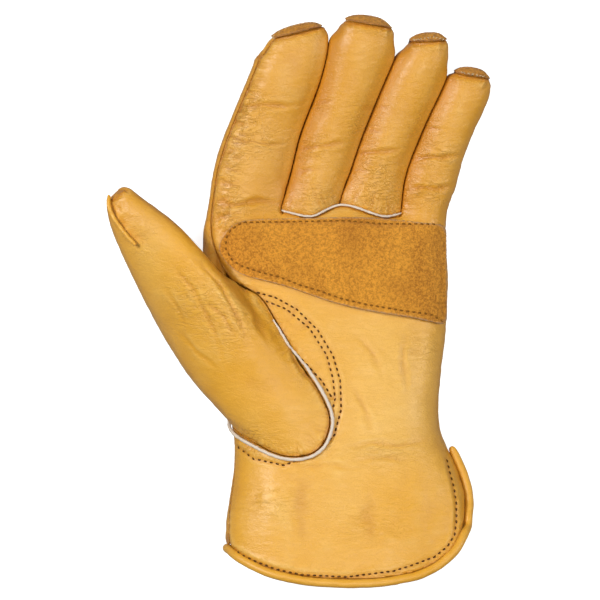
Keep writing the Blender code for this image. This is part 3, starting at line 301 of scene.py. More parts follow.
class GloveStage(bpy.types.PropertyGroup):
    floor: bpy.props.FloatVectorProperty(
        name="Floor", description="Colour of the floor", subtype="COLOR", size=4,
        min=0.0, max=1.0, default=(0.55, 0.55, 0.55, 1.0))
    glow: bpy.props.FloatProperty(
        name="Glow", description="Light of the floor itself, which keeps its shadows faint", default=0.86)
    sky: bpy.props.FloatProperty(
        name="Sky", description="Strength of the soft light from above", default=0.31)
    height: bpy.props.FloatProperty(
        name="Camera", description="Height of the camera over the glove", unit="LENGTH", default=1.6)
    across: bpy.props.FloatProperty(
        name="Field", description="Width that the camera sees at the glove", unit="LENGTH", default=0.270)


def in_plan(line):
    """The corners of a line in plan, in metres."""
    return np.array(line, float).reshape(-1, 2) * MM


def from_line(xy, line):
    """Distance of each point from a line in plan, and how far along the line its nearest place lies."""
    away, along, run = np.full(len(xy), np.inf), np.zeros(len(xy)), 0.0
    for a, b in zip(line[:-1], line[1:]):
        step = b - a
        length = np.hypot(*step)
        share = np.clip((xy - a) @ step / length**2, 0.0, 1.0)
        here = np.hypot(*(xy - a - share[:, None] * step).T)
        closer = here < away
        away[closer], along[closer] = here[closer], run + share[closer] * length
        run += length
    return away, along, run


def spread_along(line, pitch):
    """Evenly spaced places on a line in plan, with the line's direction at each."""
    lengths = np.concatenate([[0], np.cumsum(np.hypot(*np.diff(line, axis=0).T))])
    count = max(int(lengths[-1] / pitch), 1)
    wanted = (np.arange(count) + 0.5) * lengths[-1] / count
    places = np.column_stack([np.interp(wanted, lengths, line[:, k]) for k in (0, 1)])
    ahead = np.column_stack([np.interp(wanted + pitch / 2, lengths, line[:, k]) for k in (0, 1)])
    return places, ahead - places


def bell(away, width):
    """1 at no distance, falling off smoothly beyond the width."""
    return np.exp(-(away / width) ** 2)


def in_places(points, table):
    """Sum of soft round places: strength, reach across and along, and place in plan, all in millimetres."""
    total = np.zeros(len(points))
    for strength, across, along, x, y in table:
        dx, dy = (points[:, 0] / MM - x) / across, (points[:, 1] / MM - y) / along
        total += strength * np.exp(-(dx * dx + dy * dy))
    return total


def rough(points, size, seed):
    """Smooth noise between about -1 and 1 at each point, in lumps of the given size."""
    shift = Vector((seed * 7.3, seed * 3.1, seed * 5.7))
    return np.array([noise.noise(Vector(p) / size + shift) for p in points])


def select_only(piece):
    """Makes a piece the only selected and the active one."""
    bpy.ops.object.select_all(action="DESELECT")
    piece.select_set(True)
    bpy.context.view_layer.objects.active = piece


def apply_modifier(piece, kind, **settings):
    """Adds a modifier to a piece and applies it."""
    select_only(piece)
    added = piece.modifiers.new(kind.lower(), kind)
    for key, value in settings.items():
        setattr(added, key, value)
    bpy.ops.object.modifier_apply(modifier=added.name)


def halve(piece, levels):
    """Halves every face so many times, with the surface rounded between them."""
    apply_modifier(piece, "SUBSURF", levels=levels, render_levels=levels)


def copy_of(node_name, name):
    """A piece of its own with the frame's mesh of that node, made of joined quads."""
    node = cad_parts[node_name]
    mesh = node.data.copy()
    mesh.transform(node.matrix_world)
    mesh.name = name
    mesh.materials.clear()
    piece = bpy.data.objects.new(name, mesh)
    bpy.context.scene.collection.objects.link(piece)
    select_only(piece)
    bpy.ops.object.mode_set(mode="EDIT")
    bpy.ops.mesh.select_all(action="SELECT")
    bpy.ops.mesh.remove_doubles(threshold=WELD)
    bpy.ops.mesh.tris_convert_to_quads(face_threshold=math.radians(60), shape_threshold=math.radians(75))
    bpy.ops.object.mode_set(mode="OBJECT")
    return piece


def mark_rim(piece, thickness):
    """Creases the cut edges of a wall and marks its outer side and its rim as vertex groups."""
    work = bmesh.new()
    work.from_mesh(piece.data)
    work.faces.ensure_lookup_table()
    rim = set()
    for face in work.faces:
        bent = [e for e in face.edges if len(e.link_faces) == 2 and e.calc_face_angle(0.0) > RIM_TURN]
        narrow = min(e.calc_length() for e in face.edges)
        if 1 <= len(bent) < 4 and narrow < thickness * 1.3:
            if len(bent) >= 2 or max(e.calc_length() for e in bent) > narrow * 1.2:
                rim.add(face.index)
    sides, seen = [], set(rim)
    for face in work.faces:
        if face.index in seen:
            continue
        side, waiting = [], [face]
        seen.add(face.index)
        while waiting:
            here = waiting.pop()
            side.append(here)
            for edge in here.edges:
                for beside in edge.link_faces:
                    if beside.index not in seen:
                        seen.add(beside.index)
                        waiting.append(beside)
        sides.append(side)
    sides.sort(key=lambda side: -sum(face.calc_area() for face in side))
    outer = {v.index for face in sides[0] for v in face.verts}
    crease = work.edges.layers.float.get("crease_edge") or work.edges.layers.float.new("crease_edge")
    border = set()
    for edge in work.edges:
        marks = [face.index in rim for face in edge.link_faces]
        if any(marks) and not all(marks):
            edge[crease] = 1.0
            border |= {v.index for v in edge.verts}
    work.to_mesh(piece.data)
    work.free()
    for name, chosen in (("outside", outer), ("rim", border)):
        piece.vertex_groups.new(name=name).add(sorted(chosen), 1.0, "REPLACE")


def weights(piece, name):
    """A vertex group as an array."""
    wanted = piece.vertex_groups[name].index
    found = np.zeros(len(piece.data.vertices))
    for vertex in piece.data.vertices:
        for entry in vertex.groups:
            if entry.group == wanted:
                found[vertex.index] = entry.weight
    return found


def positions(mesh):
    """Every vertex's place, one to a row."""
    points = np.empty(len(mesh.vertices) * 3)
    mesh.vertices.foreach_get("co", points)
    return points.reshape(-1, 3)


def directions(mesh):
    """Every vertex's normal, one to a row."""
    normals = np.empty(len(mesh.vertices) * 3)
    mesh.vertex_normals.foreach_get("vector", normals)
    return normals.reshape(-1, 3)


def put_positions(mesh, points):
    """Moves every vertex to its row's place."""
    mesh.vertices.foreach_set("co", points.ravel())
    mesh.update()


def put_attribute(mesh, name, values):
    """Stores one number per vertex that the materials read."""
    made = mesh.attributes.get(name) or mesh.attributes.new(name, "FLOAT", "POINT")
    made.data.foreach_set("value", np.asarray(values, np.float32))


def pressed(points, up, row_piece, folds=FOLDS, gathers=GATHERS):
    """Height of the folds, gathers and sewn rows at each point, in metres, and the painted shade in their valleys
    and grooves.
    """
    xy = points[:, :2]
    height, dark = np.zeros(len(points)), np.zeros(len(points))
    for depth, width, line in folds:
        away, along, run = from_line(xy, in_plan(line))
        width = max(FOLD_SHARE * width, FOLD_LEAST) * MM * (1.0 + 0.25 * np.sin(along / (2.3 * MM)))
        ends = np.clip(np.minimum(along, run - along) / (FOLD_TAPER * run), 0.12, 1.0)
        valley, banks = bell(away, width), bell(away - BANK_AWAY * width, width)
        height += depth * MM * ends * (BANK_RISE * banks - valley)
        # Painted shade in the fold's valley.
        dark += 0.40 * ends * valley * min(depth, 0.6) * min(1.0, (1.6 * MM / np.mean(width)) ** 2)
    for depth, pitch, reach, line in gathers:
        away, along, run = from_line(xy, in_plan(line))
        near = bell(away, reach * MM) * np.clip(np.minimum(along, run - along) / (4 * MM), 0.0, 1.0)
        turns = along / (pitch * MM) * 2 * math.pi
        wave = np.sin(turns + 2.2 * np.sin(turns * 0.23 + 1.0)) * (0.75 + 0.25 * np.sin(turns * 0.37))
        wave = 1.0 - 2.0 * np.abs(wave) ** 0.7
        height += depth * MM * near * wave
        # Painted shade in the hollows of the gathers.
        dark += 0.30 * near * np.clip(-wave, 0.0, 1.0)
    for carrier, line in ROWS:
        if carrier != row_piece:
            continue
        away, _, _ = from_line(xy, in_plan(line))
        height -= GROOVE_DEPTH * bell(away, GROOVE_WIDTH)
        height += GROOVE_BANK * bell(away - GROOVE_BANK_AWAY, GROOVE_BANK_WIDTH)
        # Painted shade along the sewn groove.
        dark += 0.45 * bell(away, GROOVE_BANK_WIDTH)
    return height * up, dark * up


def tree_of(points):
    """A tree for finding the points nearest a place."""
    tree = KDTree(len(points))
    for index, place in enumerate(points):
        tree.insert(place, index)
    tree.balance()
    return tree


def from_rim(points, rim):
    """Distance of each point from the nearest corner of a rim, and that corner."""
    tree = tree_of(rim)
    found = [tree.find(p) for p in points]
    return np.array([f[2] for f in found]), np.array([f[0][:] for f in found])


def shape_leather(piece, carrier, settings, front, others):
    """Sinks the seams, presses the folds in and stores how deep each place is, its painted highlight and its
    painted shade.

    Folds and sewn rows are pressed only into a front, whose node is the carrier of its rows. The others are
    the panels that the fingers' sides swell against, if there are any.
    """
    mesh = piece.data
    points = positions(mesh)
    outside = np.where(weights(piece, "outside") > 0.5, 1.0, -1.0)
    out = directions(mesh) * outside[:, None]
    away, nearest = from_rim(points, points[weights(piece, "rim") > 0.99])
    up = np.clip(out[:, 2] * 1.6 - 0.15, 0.0, 1.0) if front else np.zeros(len(points))
    height, dark = pressed(points, up, carrier)
    broad = rough(points, 17 * MM, 1) + 0.5 * rough(points, 8 * MM, 2)
    small = rough(points * np.array([1.0, 2.2, 1.0]), 4.5 * MM, 3)
    height += settings.unrest * (0.55 * broad + 0.20 * small)
    height += PUCKER * rough(nearest, PUCKER_SIZE, 4) * bell(away, PUCKER_REACH)
    height -= settings.seam_dip * bell(away, SEAM_WIDTH)
    height += SEAM_BANK * bell(away - SEAM_BANK_AWAY, SEAM_BANK_WIDTH)
    height *= np.clip(away / (0.6 * MM), 0.35, 1.0)
    swollen = close_fingers(mesh, points, out, outside, others) if others else np.zeros(len(points))
    sideways = out * np.array([1.0, 1.0, 0.0])
    sideways /= np.maximum(np.linalg.norm(sideways, axis=1), 0.3)[:, None]
    flatter = 1.0 - 0.7 * np.clip(swollen / (0.3 * MM), 0.0, 1.0)
    moved = points + out * (height * flatter)[:, None] + sideways * swollen[:, None]
    moved[:, 2] = np.maximum(moved[:, 2], CLEAR_OF_FLOOR)
    put_positions(mesh, moved)
    # Crinkles: fine relief in the shader, with painted shade in its valleys.
    crinkle = (0.04 + 0.62 * in_places(points, CRINKLES)) * (0.25 + 0.75 * up)
    crinkle = np.clip(crinkle, 0.0, 1.0) + 0.3 * bell(away, 4 * MM)
    put_attribute(mesh, "crinkle", np.clip(crinkle, 0.0, 1.0))
    # Painted highlight: the upward faces of these broad places are painted paler.
    put_attribute(mesh, "painted_highlight", np.clip(in_places(points, PAINTED_HIGHLIGHTS) * up, 0.0, 1.0))
    # Height of the relief; the leather's colour paints its ridges paler as highlight and its hollows deeper as
    # shade.
    put_attribute(mesh, "fold", np.clip(height / (0.5 * MM), -1.0, 1.0))
    # Painted shade: darker in the seam's dip, on faces turned to the side, on the sides of the fingers that lie
    # under a neighbour, on the index finger's right side, and a little over all of the fingers.
    seam = bell(away, 0.75 * MM)
    side = np.clip(0.80 - np.abs(out[:, 2]), 0.0, 1.0)
    finger = np.clip((points[:, 1] - 24 * MM) / (12 * MM), 0.0, 1.0)
    under_neighbour_shade = np.where(points[:, 0] > -8 * MM, -out[:, 0], out[:, 0] * 0.5)
    under_neighbour_shade = finger * np.clip((under_neighbour_shade - 0.10) / 0.65, 0.0, 1.0)
    shade = dark + 0.75 * seam + 0.42 * side + 0.62 * under_neighbour_shade + 0.30 * finger
    put_attribute(mesh, "shade", np.clip(shade, 0.0, 1.0))


def close_fingers(mesh, points, out, outside, others):
    """How far the fingers' sides swell until they touch, as filled leather does."""
    moved = np.zeros(len(points))
    level = (np.abs(out[:, 2]) < 0.85) & (outside > 0)
    for k in np.flatnonzero(level & (points[:, 1] > KNUCKLES) & (points[:, 0] > THUMB_SIDE)):
        start, way = Vector(points[k]), Vector((out[k, 0], out[k, 1], 0.0)).normalized()
        here = start
        for _ in range(3):
            hit, facing, _, _ = others.ray_cast(here + way * STEP_ON, way, WIDEST_GAP)
            if hit is None:
                break
            run = (hit - start).length
            if facing.dot(way) < 0:
                level_share = 1.0 - max(abs(out[k, 2]) - 0.55, 0.0) / 0.30
                near_share = min(max((6.5 * MM - run) / (3.0 * MM), 0.0), 1.0)
                moved[k] = max(run / 2 - GAP_LEFT, 0.0) * near_share * level_share
                break
            here = hit
    ends = np.empty(len(mesh.edges) * 2, int)
    mesh.edges.foreach_get("vertices", ends)
    ends = ends.reshape(-1, 2)
    counts = np.bincount(ends.ravel(), minlength=len(points)).astype(float)
    for _ in range(EVENINGS):
        total = np.bincount(ends[:, 0], moved[ends[:, 1]], len(points))
        total += np.bincount(ends[:, 1], moved[ends[:, 0]], len(points))
        moved = 0.45 * moved + 0.55 * total / np.maximum(counts, 1.0)
    return moved


def thin_inside(piece):
    """Leaves fewer faces on the side that nobody sees."""
    deep = np.flatnonzero((weights(piece, "outside") < 0.5) & (weights(piece, "rim") < 0.4))
    piece.vertex_groups.new(name="inside").add([int(k) for k in deep], 1.0, "REPLACE")
    share = deep.size / len(piece.data.vertices)
    apply_modifier(piece, "DECIMATE", ratio=1.0 - share * (1.0 - INSIDE_KEPT), vertex_group="inside")


def finish_piece(piece, material, nodes):
    """Gives a piece its material, its place in the frame and the nodes it stands for."""
    mesh = piece.data
    mesh.materials.clear()
    mesh.materials.append(material)
    select_only(piece)
    bpy.ops.object.shade_smooth_by_angle(angle=SMOOTH_TURN)
    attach(piece, "root")
    if nodes:
        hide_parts(*nodes)


def add(tree, kind, sockets=None, **settings):
    """Adds a node and joins or sets its inputs."""
    made = tree.nodes.new(kind)
    for key, value in settings.items():
        setattr(made, key, value)
    for key, value in (sockets or {}).items():
        link_or_set(tree, made.inputs[key], value)
    return made


def group(name, inputs, outputs):
    """An empty node group with its named sockets."""
    tree = bpy.data.node_groups.new(name, "ShaderNodeTree")
    for label, kind, default in inputs:
        tree.interface.new_socket(name=label, in_out="INPUT", socket_type=kind).default_value = default
    for label, kind in outputs:
        tree.interface.new_socket(name=label, in_out="OUTPUT", socket_type=kind)
    return tree, tree.nodes.new("NodeGroupInput"), tree.nodes.new("NodeGroupOutput")


def attribute(tree, name):
    """The number that the mesh stores under a name."""
    return add(tree, "ShaderNodeAttribute", attribute_name=name).outputs["Fac"]


def link_or_set(tree, socket, value):
    """Joins an input to another node's output, or gives it a constant."""
    if isinstance(value, bpy.types.NodeSocket):
        tree.links.new(value, socket)
    else:
        socket.default_value = value


def math_node(tree, operation, first, second=0.0):
    """One step of arithmetic."""
    made = tree.nodes.new("ShaderNodeMath")
    made.operation = operation
    for socket, value in zip(made.inputs, (first, second)):
        link_or_set(tree, socket, value)
    return made.outputs[0]


def times(tree, value, factor):
    """A value multiplied by another."""
    return math_node(tree, "MULTIPLY", value, factor)


def ramp(tree, fac, low, high):
    """Maps a value from between low and high to between 0 and 1, with soft ends."""
    made = add(tree, "ShaderNodeMapRange", {"Value": fac, "From Min": low, "From Max": high},
               interpolation_type="SMOOTHSTEP")
    return made.outputs["Result"]


def mix(tree, fac, first, second):
    """A colour between two others."""
    made = add(tree, "ShaderNodeMix", data_type="RGBA")
    for socket, value in ((made.inputs["Factor"], fac), (made.inputs[6], first), (made.inputs[7], second)):
        link_or_set(tree, socket, value)
    return made.outputs[2]


def darker(colour, share):
    """The same colour with less light."""
    return [channel * share for channel in colour[:3]] + [1.0]


def grain_group():
    """Pebbled grain with pores, fine wrinkles and a slow drift over the hide."""
    tree, given, out = group(
        "hide_grain", [("Pebble", "NodeSocketFloat", 1200.0)],
        [("Grain", "NodeSocketFloat"), ("Wrinkles", "NodeSocketFloat"), ("Crinkles", "NodeSocketFloat"),
         ("Drift", "NodeSocketFloat")])
    place = add(tree, "ShaderNodeTexCoord").outputs["Object"]
    warp = add(tree, "ShaderNodeTexNoise", {"Vector": place, "Scale": 420.0, "Detail": 2.0})
    nudge = add(tree, "ShaderNodeVectorMath", {0: warp.outputs["Color"], 1: (0.0011, 0.0011, 0.0011)},
                operation="MULTIPLY")
    bent = add(tree, "ShaderNodeVectorMath", {0: place, 1: nudge.outputs[0]}, operation="ADD").outputs[0]
    pebble = add(tree, "ShaderNodeTexVoronoi", {"Vector": bent, "Scale": given.outputs["Pebble"]},
                 feature="DISTANCE_TO_EDGE")
    small = math_node(tree, "MULTIPLY", given.outputs["Pebble"], 2.3)
    finer = add(tree, "ShaderNodeTexVoronoi", {"Vector": bent, "Scale": small}, feature="DISTANCE_TO_EDGE")
    hills = ramp(tree, pebble.outputs["Distance"], 0.0, 0.22)
    grit = ramp(tree, finer.outputs["Distance"], 0.0, 0.25)
    fuzz = add(tree, "ShaderNodeTexNoise", {"Vector": place, "Scale": 2600.0, "Detail": 3.0}).outputs["Fac"]
    total = math_node(tree, "ADD", times(tree, hills, 0.5), times(tree, grit, 0.3))
    total = math_node(tree, "ADD", total, times(tree, fuzz, 0.35))
    tree.links.new(total, out.inputs["Grain"])
    stretched = add(tree, "ShaderNodeMapping",
                    {"Vector": bent, "Scale": (1.0, 3.2, 1.6), "Rotation": (0, 0, 0.12)})
    lines = add(tree, "ShaderNodeTexNoise", {"Vector": stretched.outputs[0], "Scale": 115.0, "Detail": 4.0,
                                             "Roughness": 0.62, "Distortion": 0.5}).outputs["Fac"]
    ridge = math_node(tree, "ABSOLUTE", math_node(tree, "SUBTRACT", lines, 0.5))
    tree.links.new(ramp(tree, ridge, 0.0, 0.11), out.inputs["Wrinkles"])
    pressed_in = add(tree, "ShaderNodeMapping",
                     {"Vector": bent, "Scale": (1.0, 2.6, 1.3), "Rotation": (0, 0, 0.15)})
    creases = add(tree, "ShaderNodeTexNoise", {"Vector": pressed_in.outputs[0], "Scale": 150.0, "Detail": 3.0,
                                               "Roughness": 0.55, "Distortion": 1.1}).outputs["Fac"]
    valley = math_node(tree, "ABSOLUTE", math_node(tree, "SUBTRACT", creases, 0.5))
    tree.links.new(ramp(tree, valley, 0.0, 0.085), out.inputs["Crinkles"])
    drift = add(tree, "ShaderNodeTexNoise", {"Vector": place, "Scale": 26.0, "Detail": 5.0, "Roughness": 0.6,
                                             "Distortion": 0.4}).outputs["Fac"]
    tree.links.new(ramp(tree, drift, 0.30, 0.72), out.inputs["Drift"])
    return tree


def nap_group():
    """Brushed fibres of split hide: tufts, fine specks and streaks of brushed-down nap."""
    tree, given, out = group(
        "suede_nap", [("Tuft", "NodeSocketFloat", 1500.0)],
        [("Height", "NodeSocketFloat"), ("Specks", "NodeSocketFloat"), ("Brushed", "NodeSocketFloat")])
    place = add(tree, "ShaderNodeTexCoord").outputs["Object"]
    tufts = add(tree, "ShaderNodeTexNoise", {"Vector": place, "Scale": given.outputs["Tuft"], "Detail": 5.0,
                                             "Roughness": 0.75}).outputs["Fac"]
    clumps = add(tree, "ShaderNodeTexNoise", {"Vector": place, "Scale": 640.0, "Detail": 4.0,
                                              "Roughness": 0.7}).outputs["Fac"]
    height = math_node(tree, "ADD", times(tree, tufts, 0.6), times(tree, clumps, 0.5))
    tree.links.new(height, out.inputs["Height"])
    specks = math_node(tree, "ADD", times(tree, tufts, 0.55), times(tree, clumps, 0.45))
    tree.links.new(ramp(tree, specks, 0.40, 0.57), out.inputs["Specks"])
    turned = add(tree, "ShaderNodeMapping", {"Vector": place, "Scale": (1.0, 0.45, 1.0), "Rotation": (0, 0, 0.3)})
    brushed = add(tree, "ShaderNodeTexNoise", {"Vector": turned.outputs[0], "Scale": 36.0, "Detail": 4.0,
                                               "Roughness": 0.6, "Distortion": 0.8}).outputs["Fac"]
    tree.links.new(ramp(tree, brushed, 0.34, 0.68), out.inputs["Brushed"])
    return tree


def shader_of(name):
    """A new material and its shader."""
    made = bpy.data.materials.new(name)
    made.use_nodes = True
    return made, made.node_tree, made.node_tree.nodes["Principled BSDF"]


def finish_shader(shader, **values):
    """Sets a shader's constant inputs, named with _ for a space."""
    for key, value in values.items():
        shader.inputs[key.replace("_", " ")].default_value = value


def bump(tree, height, distance, strength, before=None):
    """Relief from a height, over the relief before it if there is one."""
    sockets = {"Height": height, "Distance": distance, "Strength": strength}
    if before:
        sockets["Normal"] = before
    return add(tree, "ShaderNodeBump", sockets).outputs["Normal"]


def leather_material(settings):
    """Aniline leather: a drifting tone and grain of its own, with painted highlight over the ridges of folds and
    painted shade where it is pressed in.
    """
    _, tree, shader = shader_of("golden_leather")
    grain = add(tree, "ShaderNodeGroup", node_tree=bpy.data.node_groups["hide_grain"])
    grain.inputs["Pebble"].default_value = 1.0 / settings.grain
    fold = attribute(tree, "fold")
    wrinkle_shade = math_node(tree, "SUBTRACT", 1.0, grain.outputs["Wrinkles"])
    creases = math_node(tree, "SUBTRACT", 1.0, grain.outputs["Crinkles"])
    creased = math_node(tree, "MULTIPLY", creases, attribute(tree, "crinkle"))
    colour = settings.main
    # Drift and grain are the hide's own colour; the other mixes are painted highlight on ridges and broad places
    # and painted shade in hollows, wrinkles, crinkles and where the shade attribute says.
    for share, strength, towards in (
            (grain.outputs["Drift"], 0.22, settings.pale),
            (attribute(tree, "painted_highlight"), 0.42, settings.pale),
            (ramp(tree, fold, 0.05, 0.95), 0.40, settings.pale),
            (ramp(tree, times(tree, fold, -1.0), 0.05, 0.95), 0.26, settings.deep),
            (wrinkle_shade, 0.07, settings.deep),
            (creased, 0.20, settings.deep),
            (ramp(tree, math_node(tree, "SUBTRACT", 1.0, grain.outputs["Grain"]), 0.35, 0.85), 0.16, settings.deep),
            (attribute(tree, "shade"), 0.62, settings.deep)):
        colour = mix(tree, times(tree, share, strength), colour, towards)
    tree.links.new(colour, shader.inputs["Base Color"])
    gloss = add(tree, "ShaderNodeMapRange", {"Value": grain.outputs["Grain"], "To Min": 0.48, "To Max": 0.33})
    tree.links.new(gloss.outputs["Result"], shader.inputs["Roughness"])
    wrinkled = bump(tree, grain.outputs["Wrinkles"], 0.22 * MM, 0.28)
    wrinkled = bump(tree, times(tree, creased, -1.0), 0.55 * MM, 0.72, wrinkled)
    tree.links.new(bump(tree, grain.outputs["Grain"], 0.10 * MM, 0.42, wrinkled), shader.inputs["Normal"])
    finish_shader(shader, Specular_IOR_Level=0.5, Coat_Weight=0.16, Coat_Roughness=0.34)


def suede_material(settings, name, tuft):
    """Brushed suede with specks, patches of flattened nap and a pale cut edge."""
    _, tree, shader = shader_of(name)
    nap = add(tree, "ShaderNodeGroup", node_tree=bpy.data.node_groups["suede_nap"])
    nap.inputs["Tuft"].default_value = tuft
    light = [min(channel * 1.75, 1.0) for channel in settings.main[:3]] + [1.0]
    flecks = math_node(tree, "SUBTRACT", 1.0, nap.outputs["Specks"])
    colour = settings.main
    for share, strength, towards in (
            (nap.outputs["Brushed"], 0.66, settings.deep),
            (nap.outputs["Specks"], 0.45, light),
            (flecks, 0.42, settings.deep),
            (attribute(tree, "shade"), 0.6, settings.deep),
            (attribute(tree, "edge"), 0.75, settings.cut_edge)):
        colour = mix(tree, times(tree, share, strength), colour, towards)
    tree.links.new(colour, shader.inputs["Base Color"])
    tree.links.new(bump(tree, nap.outputs["Height"], 0.55 * MM, 0.9), shader.inputs["Normal"])
    finish_shader(shader, Roughness=0.95, Specular_IOR_Level=0.15, Sheen_Weight=0.08, Sheen_Roughness=0.6)


def edge_material(settings):
    """The raw edge of the hide, pale and fibrous."""
    _, tree, shader = shader_of("cut_edge")
    nap = add(tree, "ShaderNodeGroup", node_tree=bpy.data.node_groups["suede_nap"])
    nap.inputs["Tuft"].default_value = 2400.0
    colour = mix(tree, nap.outputs["Specks"], darker(settings.cut_edge, 0.62), settings.cut_edge)
    colour = mix(tree, times(tree, nap.outputs["Brushed"], 0.35), colour, settings.main)
    tree.links.new(colour, shader.inputs["Base Color"])
    tree.links.new(bump(tree, nap.outputs["Height"], 0.25 * MM, 0.7), shader.inputs["Normal"])
    finish_shader(shader, Roughness=0.9, Specular_IOR_Level=0.2)


def thread_material(name, colour):
    """Waxed thread with a fine twist."""
    _, tree, shader = shader_of(name)
    place = add(tree, "ShaderNodeTexCoord").outputs["Object"]
    twist = add(tree, "ShaderNodeTexWave", {"Vector": place, "Scale": 620.0, "Distortion": 1.5},
                bands_direction="DIAGONAL").outputs["Fac"]
    tree.links.new(mix(tree, twist, darker(colour, 0.55), colour), shader.inputs["Base Color"])
    tree.links.new(bump(tree, twist, 0.08 * MM, 0.5), shader.inputs["Normal"])
    finish_shader(shader, Roughness=0.8, Specular_IOR_Level=0.15)


class GLOVE_OT_materials(bpy.types.Operator):
    """Makes the leather, suede, raw edge and thread"""
    bl_idname = "glove.materials"
    bl_label = "Make materials"

    def execute(self, context):
        scene = context.scene
        grain_group()
        nap_group()
        leather_material(scene.glove_leather)
        suede_material(scene.glove_suede, "palm_suede", 1250.0)
        suede_material(scene.glove_suede, "tip_suede", 1400.0)
        edge_material(scene.glove_suede)
        thread_material("dark_thread", scene.glove_sewing.dark)
        thread_material("pale_thread", scene.glove_sewing.light)
        thread_material("suede_thread", darker(scene.glove_suede.main, 0.5))
        return {"FINISHED"}


class GLOVE_OT_leather(bpy.types.Operator):
    """Adds the palm, the back and the fronts of the two middle fingers"""
    bl_idname = "glove.leather"
    bl_label = "Add leather panels"

    def execute(self, context):
        settings = context.scene.glove_leather
        for name in PANELS:
            add_leather(name, settings, name in FRONT_PIECES)
        return {"FINISHED"}


def fingers_tree():
    """A tree of the frame's four leather panels, whose fingers stand beside each other."""
    points, faces = [], []
    for name in PANELS:
        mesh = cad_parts[name].data
        shift = len(points)
        points += [tuple(p) for p in positions(mesh)]
        faces += [tuple(k + shift for k in face.vertices) for face in mesh.polygons]
    return BVHTree.FromPolygons(points, faces)


def add_leather(name, settings, front):
    """Adds the leather of one of the frame's nodes."""
    piece = copy_of(name, name + "_leather")
    mark_rim(piece, settings.thickness)
    halve(piece, settings.levels)
    shape_leather(piece, name, settings, front, fingers_tree() if name in PANELS else None)
    thin_inside(piece)
    finish_piece(piece, bpy.data.materials["golden_leather"], [name])


class GLOVE_OT_thumb(bpy.types.Operator):
    """Adds the thumb and the raised lip at its tip"""
    bl_idname = "glove.thumb"
    bl_label = "Add thumb"

    def execute(self, context):
        settings = context.scene.glove_leather
        add_leather("thumb", settings, True)
        lip = copy_of("thumb_tip_lip", "thumb_lip")
        halve(lip, 3)
        roughen(lip, 0.12 * MM, 1.2 * MM, 5)
        put_attribute(lip.data, "fold", rough(positions(lip.data), 1.5 * MM, 6))
        finish_piece(lip, bpy.data.materials["golden_leather"], ["thumb_tip_lip"])
        return {"FINISHED"}


def roughen(piece, height, size, seed):
    """Moves a piece's surface in and out by noise, and returns the noise."""
    points = positions(piece.data)
    lumps = rough(points, size, seed) + 0.5 * rough(points, size * 0.45, seed + 1)
    moved = points + directions(piece.data) * (height * lumps)[:, None]
    moved[:, 2] = np.maximum(moved[:, 2], 0.1 * MM)
    put_positions(piece.data, moved)
    return lumps


def draw_in(mesh):
    """Draws the ends of a fingertip's suede in, so that they lie within the leather."""
    points = positions(mesh)
    middle = points.mean(axis=0)
    spread = points - middle
    share = np.abs(spread[:, 0]) / np.abs(spread[:, 0]).max()
    spread[:, 0] *= 1.0 - 0.13 * share
    spread[:, 1] -= 0.9 * MM * np.clip((share - 0.55) / 0.45, 0.0, 1.0) ** 1.5
    put_positions(mesh, middle + spread)


class GLOVE_OT_suede(bpy.types.Operator):
    """Adds the suede patch on the palm and the suede ends of the fingers"""
    bl_idname = "glove.suede"
    bl_label = "Add suede"

    def execute(self, context):
        settings = context.scene.glove_suede
        for name in SUEDE_PIECES:
            patch = name == "palm_patch"
            piece = copy_of(name, name + "_suede")
            mark_rim(piece, SUEDE_THICKNESS)
            halve(piece, 4 if patch else 3)
            mesh = piece.data
            points = positions(mesh)
            height, dark = pressed(points, np.ones(len(points)), name, (), ())
            put_positions(mesh, points + np.array([0, 0, 1.0]) * (height * 0.6)[:, None])
            if not patch:
                draw_in(mesh)
            lumps = roughen(piece, settings.nap, 1.1 * MM, 8)
            edge = np.clip((weights(piece, "rim") - 0.86) * 7.0, 0.0, 1.0) * np.clip(0.7 + lumps, 0.0, 1.0)
            put_attribute(mesh, "edge", (0.85 if patch else 0.35) * edge)
            # Painted shade along the patch's sewn grooves, together with the darker brushed-down nap of the listed
            # places.
            put_attribute(mesh, "shade", np.clip(dark + in_places(points, BRUSHED), 0.0, 1.0))
            finish = "palm_suede" if patch else "tip_suede"
            finish_piece(piece, bpy.data.materials[finish], [name])
        return {"FINISHED"}


def raw_edge(name, line, radius):
    """A raw edge that lies on the leather along a line in plan, thinner towards its start."""
    trees = [surface_of(bpy.data.objects[piece + "_leather"]) for piece in ("palm_panel", "thumb")]
    curve = bpy.data.curves.new(name, "CURVE")
    curve.dimensions, curve.bevel_depth, curve.bevel_resolution = "3D", radius, 2
    curve.use_fill_caps = True
    places, _ = spread_along(in_plan(line), 1.2 * MM)
    spline = curve.splines.new("POLY")
    spline.points.add(len(places) - 1)
    top = 0.0
    for k, (knot, (x, y)) in enumerate(zip(spline.points, places)):
        hits = [dropped(tree, x, y)[0] for tree in trees]
        top = max([hit.z for hit in hits if hit is not None] or [top])
        knot.co = (x, y, top + radius * 0.3, 1.0)
        knot.radius = 0.55 + 0.45 * min(1.0, 3.0 * k / len(places))
    holder = bpy.data.objects.new(name, curve)
    bpy.context.scene.collection.objects.link(holder)
    select_only(holder)
    bpy.ops.object.convert(target="MESH")
    piece = bpy.context.object
    halve(piece, 2)
    return piece


